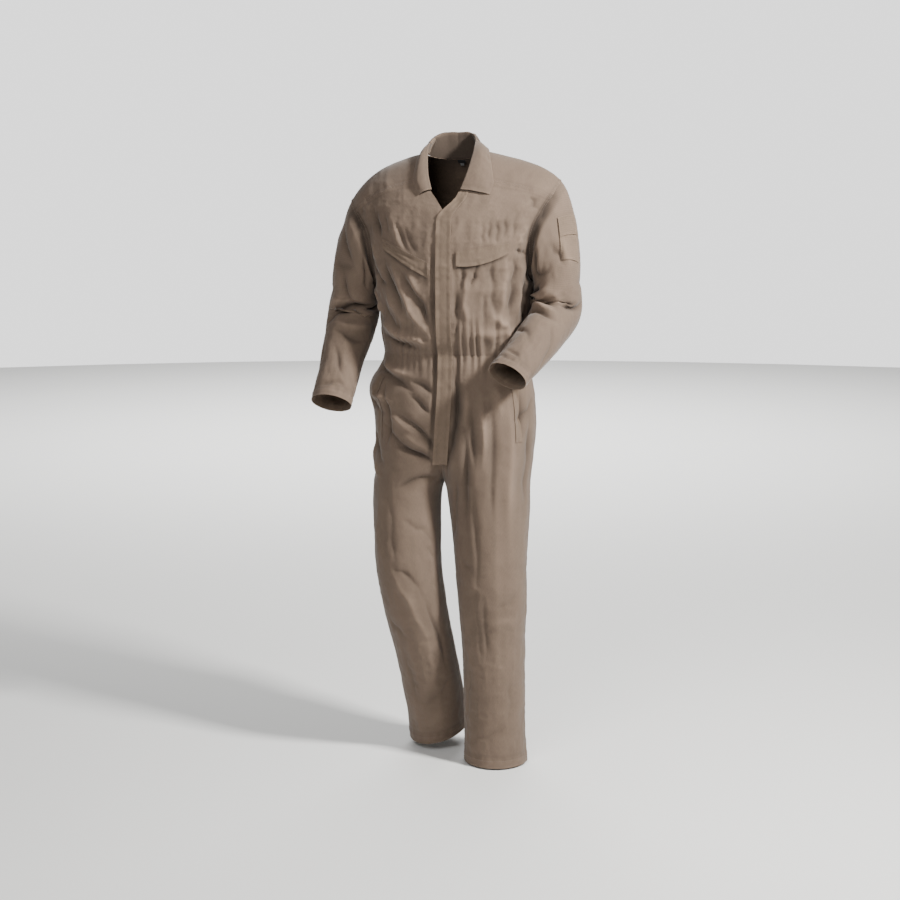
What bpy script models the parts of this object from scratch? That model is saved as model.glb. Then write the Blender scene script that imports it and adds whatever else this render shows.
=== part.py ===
"""A long-sleeved boiler suit, filled out as if worn, with hollow body, sleeves and legs.

Frame: metres, +X to the wearer's left, -Y to the front, +Z up. The origin lies between the
shoulders at the base of the neck. Every cut piece is a thin wall on a surface worked out from
the tables below: the body as a sheet that runs from the front waist over the shoulder ridge to
the back waist, the sleeves and legs as tubes of ringed sections.
"""

import math

import bpy
import numpy as np

# Driving sizes.
WALL = 0.0018
SEAM_GAP = 0.0003
LAYER_GAP = 0.0004
LAY_ON = 2 * LAYER_GAP
WELT_CLEARANCE = 2.6 * LAYER_GAP
ZIP_CLEARANCE = 3 * LAYER_GAP
ZIP_WALL = 0.0015
HALF_SEAM = 0.5 * SEAM_GAP
WAIST_SEAM = 0.35 * SEAM_GAP
SLANT_SEAM = 0.6 * SEAM_GAP
CAP_SEAM = {"out": 2.0 * SEAM_GAP, "down": 0.6 * SEAM_GAP}
SHOULDER_LEAN = 0.045
WAIST_DROP = 0.49
ARMPIT = 0.570
YOKE_FRONT = 0.270
YOKE_BACK = 0.345
NECK_BACK = 0.120
CROTCH = -0.812
GATHER_PITCH = 0.018
GATHER_HEIGHT = 0.0026
GATHER_LEVEL = -0.462
GATHER_REACH = 0.045
PLACKET_HALF = 0.018
PLACKET_FOOT = -0.762
ZIP_HALF = 0.013
ZIP_TOP = -0.158
ZIP_FOOT = -0.745
COLLAR_BEND = 0.0036
YOKE_WING = 8
YOKE_MIDDLE = 4
FRONT_COLUMNS = 2 * YOKE_WING - 1
COLLAR_COLUMNS = 25
FLAP_STAND = 0.0022
RIGHT_LEAF_NARROWING = 0.38
COLLAR_SHIFT = -0.005


def table(names, *rows):
    """A short table as a dictionary of columns; the first column is what the rest run along."""
    names = names.split()
    columns = dict(zip(names, np.array(rows, float).T))
    columns["key"] = columns[names[0]]
    return columns


# The body's sheet. Its station is the square root of the drop below the shoulder ridge, positive
# in front and negative behind, so the sheet crosses the ridge smoothly. half is the half width,
# depth the distance in front of (-) or behind (+) the ridge, fall the share of the shoulder line's
# drop that a row still has.
BODY = table(
    "station half depth fall",
    (-0.700, 0.178, 0.115, 0.00),
    (-0.678, 0.181, 0.121, 0.00),
    (-0.656, 0.184, 0.127, 0.00),
    (-0.625, 0.186, 0.132, 0.00),
    (-0.595, 0.190, 0.136, 0.00),
    (-0.570, 0.200, 0.139, 0.00),
    (-0.520, 0.222, 0.144, 0.10),
    (-0.469, 0.240, 0.146, 0.24),
    (-0.412, 0.254, 0.143, 0.40),
    (-0.361, 0.264, 0.136, 0.56),
    (-0.300, 0.272, 0.121, 0.72),
    (-0.245, 0.277, 0.102, 0.84),
    (-0.173, 0.281, 0.075, 0.94),
    (-0.063, 0.285, 0.028, 1.00),
    (0.000, 0.285, 0.000, 1.00),
    (0.063, 0.285, -0.023, 1.00),
    (0.173, 0.281, -0.066, 0.94),
    (0.245, 0.277, -0.093, 0.84),
    (0.300, 0.272, -0.111, 0.72),
    (0.361, 0.264, -0.128, 0.56),
    (0.412, 0.254, -0.139, 0.40),
    (0.469, 0.240, -0.147, 0.24),
    (0.520, 0.222, -0.150, 0.10),
    (0.570, 0.200, -0.149, 0.00),
    (0.595, 0.190, -0.148, 0.00),
    (0.625, 0.186, -0.147, 0.00),
    (0.656, 0.184, -0.143, 0.00),
    (0.678, 0.181, -0.134, 0.00),
    (0.700, 0.178, -0.122, 0.00),
)

# The shoulder line: how far it has dropped at a reach from the middle plane.
SHOULDERS = table(
    "reach right left",
    (0.000, 0.0000, 0.0000),
    (0.050, 0.0002, 0.0010),
    (0.075, 0.0008, 0.0029),
    (0.100, 0.0043, 0.0090),
    (0.130, 0.0124, 0.0179),
    (0.160, 0.0221, 0.0267),
    (0.190, 0.0359, 0.0376),
    (0.210, 0.0490, 0.0460),
    (0.230, 0.0661, 0.0574),
    (0.245, 0.0825, 0.0680),
    (0.262, 0.1060, 0.0840),
    (0.285, 0.1480, 0.1150),
)

# Where the body's sheet is cut for the arms, in degrees round from the centre line.
ARMHOLE = table(
    "station degrees",
    (-0.570, 90.0),
    (-0.562, 82.5),
    (-0.540, 76.0),
    (-0.505, 69.5),
    (-0.469, 65.5),
    (-0.412, 63.0),
    (-0.345, 63.0),
    (-0.245, 65.0),
    (-0.120, 66.3),
    (0.000, 66.5),
    (0.120, 65.8),
    (0.245, 63.0),
    (0.345, 59.0),
    (0.412, 57.0),
    (0.469, 59.0),
    (0.505, 64.5),
    (0.540, 72.5),
    (0.562, 81.0),
    (0.570, 90.0),
)

# Where the body's sheet is cut for the neck, in degrees; zero is the centre line.
NECKLINE = table(
    "station degrees",
    (-0.120, 6.0),
    (-0.105, 10.0),
    (-0.080, 13.2),
    (0.000, 15.15),
    (0.120, 14.8),
    (0.190, 14.0),
    (0.245, 12.3),
    (0.300, 8.8),
    (0.345, 4.3),
    (0.387, 0.0),
)

# The trunk below the waist: mid is the middle plane, left and right the reach to each side of it,
# split how far the two legs have parted (0 one oval, 1 two closed tubes), y the middle of depth.
HIPS = table(
    "level mid left right split y front back",
    (-0.812, -0.0275, 0.2180, 0.1795, 1.000, 0.006, 0.112, 0.118),
    (-0.795, -0.0250, 0.2170, 0.1790, 0.930, 0.007, 0.115, 0.124),
    (-0.760, -0.0200, 0.2155, 0.1840, 0.720, 0.008, 0.121, 0.134),
    (-0.700, -0.0120, 0.2140, 0.1910, 0.420, 0.008, 0.128, 0.142),
    (-0.640, -0.0060, 0.2090, 0.2005, 0.200, 0.006, 0.131, 0.143),
    (-0.585, -0.0020, 0.2000, 0.2160, 0.090, 0.004, 0.130, 0.137),
    (-0.560, -0.0010, 0.1950, 0.2105, 0.060, 0.003, 0.128, 0.132),
    (-0.530, 0.0000, 0.1880, 0.1920, 0.030, 0.001, 0.126, 0.124),
    (-0.508, 0.0000, 0.1820, 0.1820, 0.010, 0.000, 0.124, 0.118),
    (-0.490, 0.0000, 0.1780, 0.1780, 0.000, 0.000, 0.122, 0.115),
)

# The legs below the crotch. rise_x and rise_y tilt a section where the leg leans.
LEGS = {
    "left": table(
        "level x y half front back rise_x rise_y",
        (-1.540, 0.1070, 0.004, 0.0811, 0.083, 0.086, 0.00, 0.00),
        (-1.459, 0.1045, 0.004, 0.0780, 0.080, 0.084, 0.00, 0.00),
        (-1.347, 0.1020, 0.003, 0.0780, 0.080, 0.084, 0.00, 0.00),
        (-1.235, 0.1005, 0.000, 0.0805, 0.082, 0.086, 0.00, 0.00),
        (-1.125, 0.0980, -0.005, 0.0865, 0.087, 0.090, 0.00, 0.00),
        (-1.024, 0.0935, -0.003, 0.0911, 0.092, 0.096, 0.00, 0.00),
        (-0.934, 0.0905, 0.002, 0.0974, 0.098, 0.104, 0.00, 0.00),
        (-0.862, 0.0870, 0.005, 0.1030, 0.104, 0.111, 0.00, 0.00),
        (-0.835, 0.0850, 0.006, 0.1050, 0.108, 0.115, 0.00, 0.00),
        (-0.812, 0.0815, 0.006, 0.1090, 0.112, 0.118, 0.00, 0.00),
    ),
    "right": table(
        "level x y half front back rise_x rise_y",
        (-1.502, -0.0643, 0.109, 0.0768, 0.081, 0.083, 0.20, 0.25),
        (-1.459, -0.0655, 0.095, 0.0765, 0.080, 0.082, 0.13, 0.24),
        (-1.347, -0.0750, 0.058, 0.0760, 0.080, 0.082, 0.10, 0.18),
        (-1.235, -0.0880, 0.020, 0.0775, 0.084, 0.084, 0.06, 0.10),
        (-1.125, -0.1050, -0.008, 0.0812, 0.090, 0.087, 0.02, 0.02),
        (-1.024, -0.1175, -0.014, 0.0831, 0.093, 0.092, 0.00, 0.00),
        (-0.934, -0.1210, -0.008, 0.0850, 0.097, 0.100, 0.00, 0.00),
        (-0.862, -0.1235, 0.001, 0.0855, 0.103, 0.109, 0.00, 0.00),
        (-0.835, -0.1215, 0.004, 0.0870, 0.108, 0.114, 0.00, 0.00),
        (-0.812, -0.1173, 0.006, 0.0898, 0.112, 0.118, 0.00, 0.00),
    ),
}

# The sleeves' sections from the upper arm to the cuff. x, y, z is a section's middle, across its
# half width, deep its half depth, and slant lets its outer side stand higher on the arm.
SLEEVES = {
    "left": table(
        "station x y z across deep slant",
        (1, 0.2520, 0.0000, -0.318, 0.0600, 0.0670, 0.040),
        (2, 0.2530, 0.0030, -0.352, 0.0620, 0.0660, 0.020),
        (3, 0.2520, -0.0040, -0.388, 0.0605, 0.0620, 0.000),
        (4, 0.2375, -0.0400, -0.422, 0.0560, 0.0580, 0.000),
        (5, 0.2120, -0.0960, -0.462, 0.0540, 0.0500, 0.000),
        (6, 0.1870, -0.1450, -0.498, 0.0520, 0.0430, 0.000),
        (7, 0.1620, -0.1880, -0.531, 0.0510, 0.0370, 0.000),
    ),
    "right": table(
        "station x y z across deep slant",
        (1, -0.2520, 0.0000, -0.322, 0.0580, 0.0670, 0.040),
        (2, -0.2555, 0.0060, -0.356, 0.0605, 0.0650, 0.020),
        (3, -0.2610, 0.0080, -0.392, 0.0640, 0.0620, 0.000),
        (4, -0.2680, -0.0080, -0.440, 0.0610, 0.0590, 0.000),
        (5, -0.2775, -0.0420, -0.500, 0.0540, 0.0540, 0.000),
        (6, -0.2825, -0.0800, -0.557, 0.0510, 0.0480, 0.000),
        (7, -0.2880, -0.1180, -0.612, 0.0500, 0.0430, 0.000),
    ),
}
CUFF_STATION = 7.0
CAP_SWING = {"left": {"x": 0.58, "z": -0.81}, "right": {"x": 0.34, "z": -0.94}}
CAP_FULLNESS = 0.62

# The collar from the centre back to the front corner. roll is where it turns over; its free edge
# lies on the body at a station and a number of degrees, lifted off it.
COLLAR = table(
    "part roll_x roll_y roll_z edge_station edge_degrees edge_lift bulge foot_station foot_degrees",
    (0.00, 0.000, 0.064, 0.051, -0.215, 0.0, 0.005, 0.004, -0.120, 0.0),
    (0.15, 0.031, 0.056, 0.050, -0.205, 8.6, 0.005, 0.004, -0.119, 6.0),
    (0.30, 0.0475, 0.035, 0.0415, -0.150, 13.9, 0.005, 0.003, -0.090, 12.6),
    (0.45, 0.0550, 0.003, 0.026, -0.040, 15.9, 0.005, 0.003, -0.030, 15.0),
    (0.60, 0.0565, -0.033, 0.008, 0.110, 19.0, 0.005, 0.005, 0.080, 15.0),
    (0.75, 0.053, -0.070, -0.023, 0.215, 22.0, 0.005, 0.006, 0.170, 14.3),
    (0.90, 0.045, -0.102, -0.062, 0.285, 24.0, 0.005, 0.006, 0.245, 12.3),
    (1.00, 0.0345, -0.1165, -0.094, 0.325, 23.0, 0.004, 0.005, 0.300, 8.8),
)

# Chest flaps, pocket welts: corners as distance from the middle plane and level.
CHEST_FLAP = {
    "right": {"inner": 0.037, "outer": 0.155, "top_inner": -0.268, "top_outer": -0.211,
              "foot_inner": -0.303, "foot_outer": -0.233, "foot_bow": -0.003},
    "left": {"inner": 0.031, "outer": 0.151, "top_inner": -0.241, "top_outer": -0.222,
             "foot_inner": -0.275, "foot_outer": -0.243, "foot_bow": -0.011},
}
POCKET_WELT = {"width": 0.014, "high": -0.548, "low": -0.704}
SLEEVE_POCKET = {"round_low": 0.34, "round_high": 0.50, "top": 0.34, "foot": 0.88}
SLEEVE_FLAP = {"round_low": 0.335, "round_high": 0.505, "top": 0.30, "foot": 0.48}
NECK_LABEL = {"left": -0.004, "right": 0.015, "top": 0.002, "foot": 0.014}
SIZE_TAB = {"left": 0.001, "right": 0.010, "top": 0.0145, "foot": 0.0235}
LABEL_WALL = 0.0008

# The largest folds: each runs from one end to the other, with a sideways bow in the middle.
# Troughs have a negative depth. side is -1 on the front and 1 on the back.
FOLDS = table(
    "row side x0 z0 x1 z1 bow width depth",
    (1, -1, -0.150, -0.300, -0.055, -0.455, 0.010, 0.021, 0.0095),
    (2, -1, -0.115, -0.300, -0.030, -0.420, 0.006, 0.017, -0.0070),
    (3, -1, -0.170, -0.440, -0.045, -0.475, 0.008, 0.017, 0.0110),
    (4, -1, -0.170, -0.505, -0.060, -0.545, 0.010, 0.018, -0.0105),
    (5, -1, -0.160, -0.555, -0.100, -0.610, 0.004, 0.018, -0.0120),
    (6, -1, -0.145, -0.530, -0.090, -0.590, 0.004, 0.016, 0.0090),
    (7, -1, -0.095, -0.585, -0.045, -0.605, 0.004, 0.016, -0.0080),
    (8, -1, -0.125, -0.650, -0.040, -0.755, -0.010, 0.019, -0.0105),
    (9, -1, -0.150, -0.720, -0.050, -0.790, 0.010, 0.019, -0.0095),
    (10, -1, -0.120, -0.850, -0.045, -0.800, 0.010, 0.018, 0.0070),
    (11, -1, 0.004, -0.550, 0.020, -0.900, -0.008, 0.017, -0.0120),
    (12, -1, 0.045, -0.560, 0.055, -1.150, -0.006, 0.021, 0.0070),
    (13, -1, 0.072, -0.620, 0.080, -1.060, 0.006, 0.018, -0.0070),
    (14, -1, 0.120, -0.560, 0.125, -1.200, 0.006, 0.023, 0.0065),
    (15, -1, 0.060, -0.300, 0.045, -0.420, 0.004, 0.016, -0.0070),
    (16, -1, 0.100, -0.285, 0.110, -0.440, 0.004, 0.018, 0.0070),
    (17, -1, 0.160, -0.265, 0.140, -0.420, -0.006, 0.018, -0.0070),
    (18, -1, -0.130, -1.080, -0.060, -1.140, 0.008, 0.021, -0.0065),
    (19, -1, -0.150, -1.160, -0.070, -1.100, -0.008, 0.021, 0.0055),
    (20, -1, -0.110, -1.440, -0.040, -1.400, 0.006, 0.021, -0.0055),
    (21, -1, 0.075, -1.460, 0.140, -1.490, 0.006, 0.018, -0.0055),
    (22, 1, 0.120, -0.250, 0.060, -0.440, 0.008, 0.023, -0.0080),
    (23, 1, -0.125, -0.250, -0.065, -0.440, -0.008, 0.023, -0.0080),
    (24, 1, 0.060, -0.300, 0.020, -0.450, 0.004, 0.021, 0.0070),
    (25, 1, -0.050, -0.290, -0.025, -0.450, 0.004, 0.021, 0.0070),
    (26, 1, 0.150, -0.720, 0.060, -0.820, 0.012, 0.023, -0.0110),
    (27, 1, -0.155, -0.710, -0.070, -0.815, -0.012, 0.023, -0.0110),
    (28, 1, 0.110, -0.640, 0.035, -0.730, 0.010, 0.021, -0.0070),
    (29, 1, -0.110, -0.650, -0.045, -0.735, -0.010, 0.021, -0.0070),
    (30, 1, 0.160, -1.110, 0.050, -1.150, 0.010, 0.023, -0.0095),
    (31, 1, -0.160, -1.120, -0.060, -1.090, 0.010, 0.023, -0.0120),
    (32, 1, -0.150, -1.190, -0.050, -1.170, -0.010, 0.021, -0.0090),
)

# Folds of the sleeves, in turns round from the underarm seam and in stations along the arm.
SLEEVE_FOLDS = {
    "left": table(
        "row u0 v0 u1 v1 bow width_u width_v depth",
        (1, 0.10, 2.6, 0.42, 2.9, 0.15, 0.20, 0.26, -0.0110),
        (2, 0.14, 3.5, 0.36, 3.3, 0.10, 0.20, 0.26, 0.0065),
        (3, 0.12, 2.0, 0.38, 1.7, 0.10, 0.20, 0.24, 0.0065),
        (4, 0.10, 4.2, 0.34, 4.6, 0.10, 0.20, 0.30, -0.0050),
        (5, 0.16, 0.25, 0.10, 1.30, 0.02, 0.035, 0.60, -0.0080),
        (6, 0.86, 0.25, 0.92, 1.30, 0.02, 0.035, 0.60, -0.0080),
        (7, 0.60, 2.7, 0.88, 2.4, 0.10, 0.20, 0.26, -0.0050),
        (8, 0.20, 5.6, 0.42, 5.9, 0.10, 0.20, 0.26, -0.0040),
    ),
    "right": table(
        "row u0 v0 u1 v1 bow width_u width_v depth",
        (1, 0.08, 2.8, 0.44, 2.6, 0.15, 0.20, 0.26, -0.0105),
        (2, 0.12, 3.5, 0.40, 3.7, 0.10, 0.20, 0.28, 0.0060),
        (3, 0.12, 1.9, 0.40, 1.6, 0.10, 0.20, 0.24, 0.0060),
        (4, 0.15, 4.4, 0.42, 4.1, 0.10, 0.20, 0.30, -0.0050),
        (5, 0.17, 0.25, 0.10, 1.30, 0.02, 0.035, 0.60, -0.0080),
        (6, 0.85, 0.25, 0.92, 1.30, 0.02, 0.035, 0.60, -0.0080),
        (7, 0.60, 2.5, 0.88, 2.7, 0.10, 0.20, 0.26, -0.0050),
        (8, 0.18, 5.9, 0.40, 5.6, 0.10, 0.20, 0.26, -0.0040),
    ),
}

# Stations of the body's rows; the armhole's own rows are shared with the sleeves.
ARM_ROWS = (0.000, 0.060, 0.120, 0.195, 0.270, 0.310, 0.345, 0.387, 0.430, 0.469, 0.505, 0.540,
            0.562, 0.570)
WAIST_ROWS = (0.584, 0.600, 0.617, 0.634, 0.650, 0.665, 0.678, 0.690, 0.700)
HIP_ROWS = (-0.490, -0.505, -0.525, -0.548, -0.573, -0.600, -0.630, -0.662, -0.695, -0.725,
            -0.752, -0.776, -0.796, -0.812)
LEG_ROWS = (-0.830, -0.855, -0.890, -0.930, -0.980, -1.035, -1.090, -1.145, -1.205, -1.280,
            -1.360, -1.430, -1.475)
SLEEVE_ROWS = (0.0, 0.16, 0.36, 0.58, 0.80, 1.05, 1.5, 1.95, 2.35, 2.7, 3.05, 3.45, 4.0, 4.7, 5.5,
               6.3, 7.0)

# Colours of the plain materials.
TWILL = (0.300, 0.246, 0.196)
TWILL_TRIM = (0.285, 0.232, 0.184)
TAPE = (0.120, 0.098, 0.080)
LABEL_BLACK = (0.010, 0.010, 0.011)
LABEL_GREY = (0.330, 0.330, 0.330)


def track(rows, name, at):
    """Smooth reading of one column of a table at any place along its key column."""
    keys = rows["key"]
    values = rows[name]
    at = np.clip(np.asarray(at, float), keys[0], keys[-1])
    steps = np.diff(keys)
    rates = np.diff(values) / steps
    slopes = np.empty_like(values)
    slopes[0] = rates[0]
    slopes[-1] = rates[-1]
    slopes[1:-1] = (rates[:-1] * steps[1:] + rates[1:] * steps[:-1]) / (steps[:-1] + steps[1:])
    turning = rates[:-1] * rates[1:] <= 0
    slopes[1:-1][turning] = 0
    found = np.clip(np.searchsorted(keys, at, side="right") - 1, 0, len(steps) - 1)
    width = steps[found]
    part = (at - keys[found]) / width
    start = values[found]
    end = values[found + 1]
    rise = slopes[found] * width
    settle = slopes[found + 1] * width
    return (
        start * (1 + 2 * part) * (1 - part) ** 2
        + rise * part * (1 - part) ** 2
        + end * part**2 * (3 - 2 * part)
        + settle * part**2 * (part - 1)
    )


def unit(vectors):
    """Vectors brought to length one."""
    return vectors / np.maximum(np.linalg.norm(vectors, axis=-1, keepdims=True), 1e-12)


def ease(value, start, end):
    """0 before start, 1 after end, and a soft step between."""
    part = np.clip((value - start) / (end - start), 0, 1)
    return part * part * (3 - 2 * part)


def along_fold(px, pz, fold):
    """How far a point is along a fold (0 to 1) and how far to its side."""
    dx = fold["x1"] - fold["x0"]
    dz = fold["z1"] - fold["z0"]
    length = math.hypot(dx, dz)
    part = ((px - fold["x0"]) * dx + (pz - fold["z0"]) * dz) / length**2
    aside = ((px - fold["x0"]) * dz - (pz - fold["z0"]) * dx) / length
    inside = np.clip(part, 0, 1)
    return part, aside - 4 * fold["bow"] * inside * (1 - inside)


def fold_relief(x, z, front):
    """Height of the largest folds over the smooth surface; front is 1 in front, 0 behind."""
    relief = np.zeros(np.broadcast(x, z).shape)
    for row in range(len(FOLDS["key"])):
        fold = {name: column[row] for name, column in FOLDS.items()}
        part, aside = along_fold(x, z, fold)
        fade = ease(part, -0.12, 0.25) * (1 - ease(part, 0.75, 1.12))
        facing = front if fold["side"] < 0 else 1 - front
        relief += fold["depth"] * facing * fade * np.exp(-((aside / fold["width"]) ** 2))
    return relief


def gather_relief(x, z, front):
    """Elastic gathers round the waist and soft ones under the front yoke."""
    reach = np.exp(-(((z - GATHER_LEVEL) / GATHER_REACH) ** 2)) * (1 - ease(-z, 0.49, 0.53))
    span = np.abs(x)
    in_front = ease(span, 0.024, 0.040) * (1 - ease(span, 0.112, 0.135))
    behind = 1 - ease(span, 0.120, 0.150)
    where = front * in_front + (1 - front) * behind
    wave = np.cos(2 * math.pi * span / GATHER_PITCH)
    yoke_reach = ease(-z, 0.115, 0.145) * (1 - ease(-z, 0.205, 0.245))
    yoke_where = front * ease(span, 0.070, 0.085) * (1 - ease(span, 0.150, 0.165))
    return wave * (GATHER_HEIGHT * reach * where + 0.6 * GATHER_HEIGHT * yoke_reach * yoke_where)


def body_point(station, angle):
    """The smooth body sheet at a station and an angle in radians from the centre line."""
    station, angle = np.broadcast_arrays(station, angle)
    x = track(BODY, "half", station) * np.sin(angle)
    y = track(BODY, "depth", station) * np.cos(angle)
    reach = np.abs(x)
    right = track(SHOULDERS, "right", reach)
    ridge = np.where(x < 0, right, track(SHOULDERS, "left", reach))
    drop = station**2
    lean = SHOULDER_LEAN * x * (1 - ease(drop, 0.30, WAIST_DROP))
    z = -drop - track(BODY, "fall", station) * ridge + lean
    return np.stack([x, y, z], axis=-1)


def surface_normal(function, first, second, outward):
    """Normals of a surface by small differences, turned towards outward(points)."""
    tiny = 1e-4
    along = function(first + tiny, second) - function(first - tiny, second)
    across = function(first, second + tiny) - function(first, second - tiny)
    normal = unit(np.cross(along, across))
    flip = np.sum(normal * outward, axis=-1, keepdims=True) < 0
    return np.where(flip, -normal, normal)


def body_sheet(station, angle):
    """Points of the body with folds and gathers, and their normals."""
    station, angle = np.broadcast_arrays(np.asarray(station, float), np.asarray(angle, float))
    point = body_point(station, angle)
    up = 1 - ease(np.abs(station), 0, 0.5)
    away = np.stack([np.sin(angle), -np.sign(station) * np.cos(angle), up], axis=-1)
    normal = surface_normal(body_point, station, angle, away)
    low = ease(np.abs(station), 0.66, 0.70)[..., None]
    level = normal * np.array([1, 1, 0])
    normal = unit(normal * (1 - low) + level * low)
    front = ease(station, -0.02, 0.02)
    side_fade = 1 - ease(np.abs(angle), 1.25, 1.5)
    seam_fade = ease(np.abs(station), 0.28, 0.40)
    relief = fold_relief(point[..., 0], point[..., 2], front) * seam_fade
    relief = relief + gather_relief(point[..., 0], point[..., 2], front)
    edge = body_edge_fade(station, angle)
    return point + normal * (relief * side_fade * edge)[..., None], normal


def body_edge_fade(station, angle):
    """Folds die out at the armhole seam."""
    size = np.abs(station)
    limit = np.radians(track(ARMHOLE, "degrees", np.clip(station, -ARMPIT, ARMPIT)))
    near = 1 - ease(np.abs(angle), limit - 0.25, limit - 0.02)
    return np.where(size > ARMPIT + 0.02, 1.0, near)


def hip_point(side, level, turn):
    """The smooth trunk below the waist on one side; turn is 0 at the side seam, + to the front."""
    sign = 1 if side == "left" else -1
    split = track(HIPS, "split", level)
    half = track(HIPS, side, level) / (1 + split)
    x = track(HIPS, "mid", level) + sign * half * (split + np.cos(turn))
    depth = np.where(turn > 0, track(HIPS, "front", level), track(HIPS, "back", level))
    y = track(HIPS, "y", level) - depth * np.sin(turn)
    return np.stack(np.broadcast_arrays(x, y, level * np.ones_like(x)), axis=-1)


def leg_point(side, level, turn):
    """The smooth leg below the crotch, or the trunk above it."""
    level, turn = np.broadcast_arrays(level, turn)
    sign = 1 if side == "left" else -1
    leg = LEGS[side]
    across = sign * track(leg, "half", level) * np.cos(turn)
    depth = np.where(turn > 0, track(leg, "front", level), track(leg, "back", level))
    deep = -depth * np.sin(turn)
    rise = track(leg, "rise_x", level) * across + track(leg, "rise_y", level) * deep
    below = np.stack([track(leg, "x", level) + across, track(leg, "y", level) + deep, level + rise],
                     axis=-1)
    return np.where((level >= CROTCH)[..., None], hip_point(side, level, turn), below)


def hip_turn(level, part):
    """Turn from the side seam (part 0) to the middle plane or the inside leg (part 1 or -1)."""
    split = np.where(level >= CROTCH, track(HIPS, "split", level), 1.0)
    return part * np.arccos(-np.clip(split, 0, 1))


def leg_sheet(side, level, turn):
    """Points of a trouser half with folds and gathers, and their normals."""
    level, turn = np.broadcast_arrays(np.asarray(level, float), np.asarray(turn, float))
    point = leg_point(side, level, turn)
    sign = 1 if side == "left" else -1
    away = np.stack([sign * np.cos(turn), -np.sin(turn), np.zeros_like(turn)], axis=-1)
    normal = surface_normal(lambda a, b: leg_point(side, a, b), level, turn, away)
    flat = (1 - ease(-level, WAIST_DROP, WAIST_DROP + 0.03))[..., None]
    normal = unit(normal * (1 - flat) + normal * np.array([1, 1, 0]) * flat)
    front = ease(turn, -0.05, 0.05)
    side_fade = ease(np.abs(turn), 0.12, 0.45) * (1 - ease(np.abs(turn), 2.55, 2.95))
    relief = fold_relief(point[..., 0], point[..., 2], front)
    relief = relief + gather_relief(point[..., 0], point[..., 2], front)
    return point + normal * (relief * side_fade)[..., None], normal


def armhole_arc():
    """Station of the armhole against the share of its length, from the armpit round the front."""
    station = np.concatenate([np.linspace(ARMPIT, 0, 200), np.linspace(0, -ARMPIT, 200)[1:]])
    point = body_point(station, np.radians(track(ARMHOLE, "degrees", station)))
    length = np.concatenate([[0], np.cumsum(np.linalg.norm(np.diff(point, axis=0), axis=1))])
    return station, length / length[-1]


ARC_STATION, ARC_SHARE = armhole_arc()


def round_share(station):
    """Share of the way round the armhole at a body station."""
    return np.interp(-np.asarray(station, float), -ARC_STATION, ARC_SHARE)


def armhole_point(side, share):
    """The armhole seam at a share of the way round, 0 at the armpit and 0.5 at the shoulder."""
    sign = 1 if side == "left" else -1
    station = np.interp(np.mod(share, 1), ARC_SHARE, ARC_STATION)
    return body_point(station, sign * np.radians(track(ARMHOLE, "degrees", station)))


def sleeve_ring(side, share, station):
    """A section of the sleeve from the upper arm down."""
    sign = 1 if side == "left" else -1
    arm = SLEEVES[side]
    step = 0.02
    middle = np.stack([track(arm, axis, station) for axis in "xyz"], axis=-1)
    before = np.stack([track(arm, axis, station - step) for axis in "xyz"], axis=-1)
    after = np.stack([track(arm, axis, station + step) for axis in "xyz"], axis=-1)
    along = unit(after - before)
    out = np.array([sign, 0.0, 0.0]) - along * (sign * along[..., :1])
    out = unit(out)
    fore = sign * np.cross(along, out)
    turn = 2 * math.pi * share
    across = -track(arm, "across", station) * np.cos(turn)
    deep = track(arm, "deep", station) * np.sin(turn)
    slant = track(arm, "slant", station) * np.cos(turn)
    ring = middle + out * across[..., None] + fore * deep[..., None] + along * slant[..., None]
    return ring, along


def sleeve_point(side, share, station):
    """The smooth sleeve from the armhole (station 0) to the cuff."""
    share, station = np.broadcast_arrays(np.asarray(share, float), np.asarray(station, float))
    sign = 1 if side == "left" else -1
    low = np.maximum(station, 1.0)
    ring, along = sleeve_ring(side, share, low)
    start = armhole_point(side, share)
    swing = unit(np.array([sign * CAP_SWING[side]["x"], 0.0, CAP_SWING[side]["z"]]))
    span = np.linalg.norm(ring - start, axis=-1, keepdims=True)
    part = np.clip(station, 0, 1)[..., None]
    cap = (
        start * (1 + 2 * part) * (1 - part) ** 2
        + CAP_FULLNESS * span * swing * part * (1 - part) ** 2
        + ring * part**2 * (3 - 2 * part)
        + span * along * part**2 * (part - 1)
    )
    return np.where(station[..., None] < 1, cap, ring)


def sleeve_relief(side, share, station):
    """Height of the sleeve's folds."""
    relief = np.zeros(share.shape)
    folds = SLEEVE_FOLDS[side]
    for row in range(len(folds["key"])):
        fold = {name: column[row] for name, column in folds.items()}
        du = fold["u1"] - fold["u0"]
        dv = fold["v1"] - fold["v0"]
        upright = abs(dv) > 0.6
        part = (station - fold["v0"]) / dv if upright else (share - fold["u0"]) / du
        inside = np.clip(part, 0, 1)
        bow = 4 * fold["bow"] * inside * (1 - inside)
        if upright:
            aside = (share - fold["u0"] - du * inside - bow) / fold["width_u"]
        else:
            aside = (station - fold["v0"] - dv * inside - bow) / fold["width_v"]
        fade = ease(part, -0.15, 0.30) * (1 - ease(part, 0.70, 1.15))
        relief += fold["depth"] * fade * np.exp(-(aside**2))
    return relief * ease(station, 0.1, 0.45) * (1 - ease(station, 6.6, 7.0))


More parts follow.
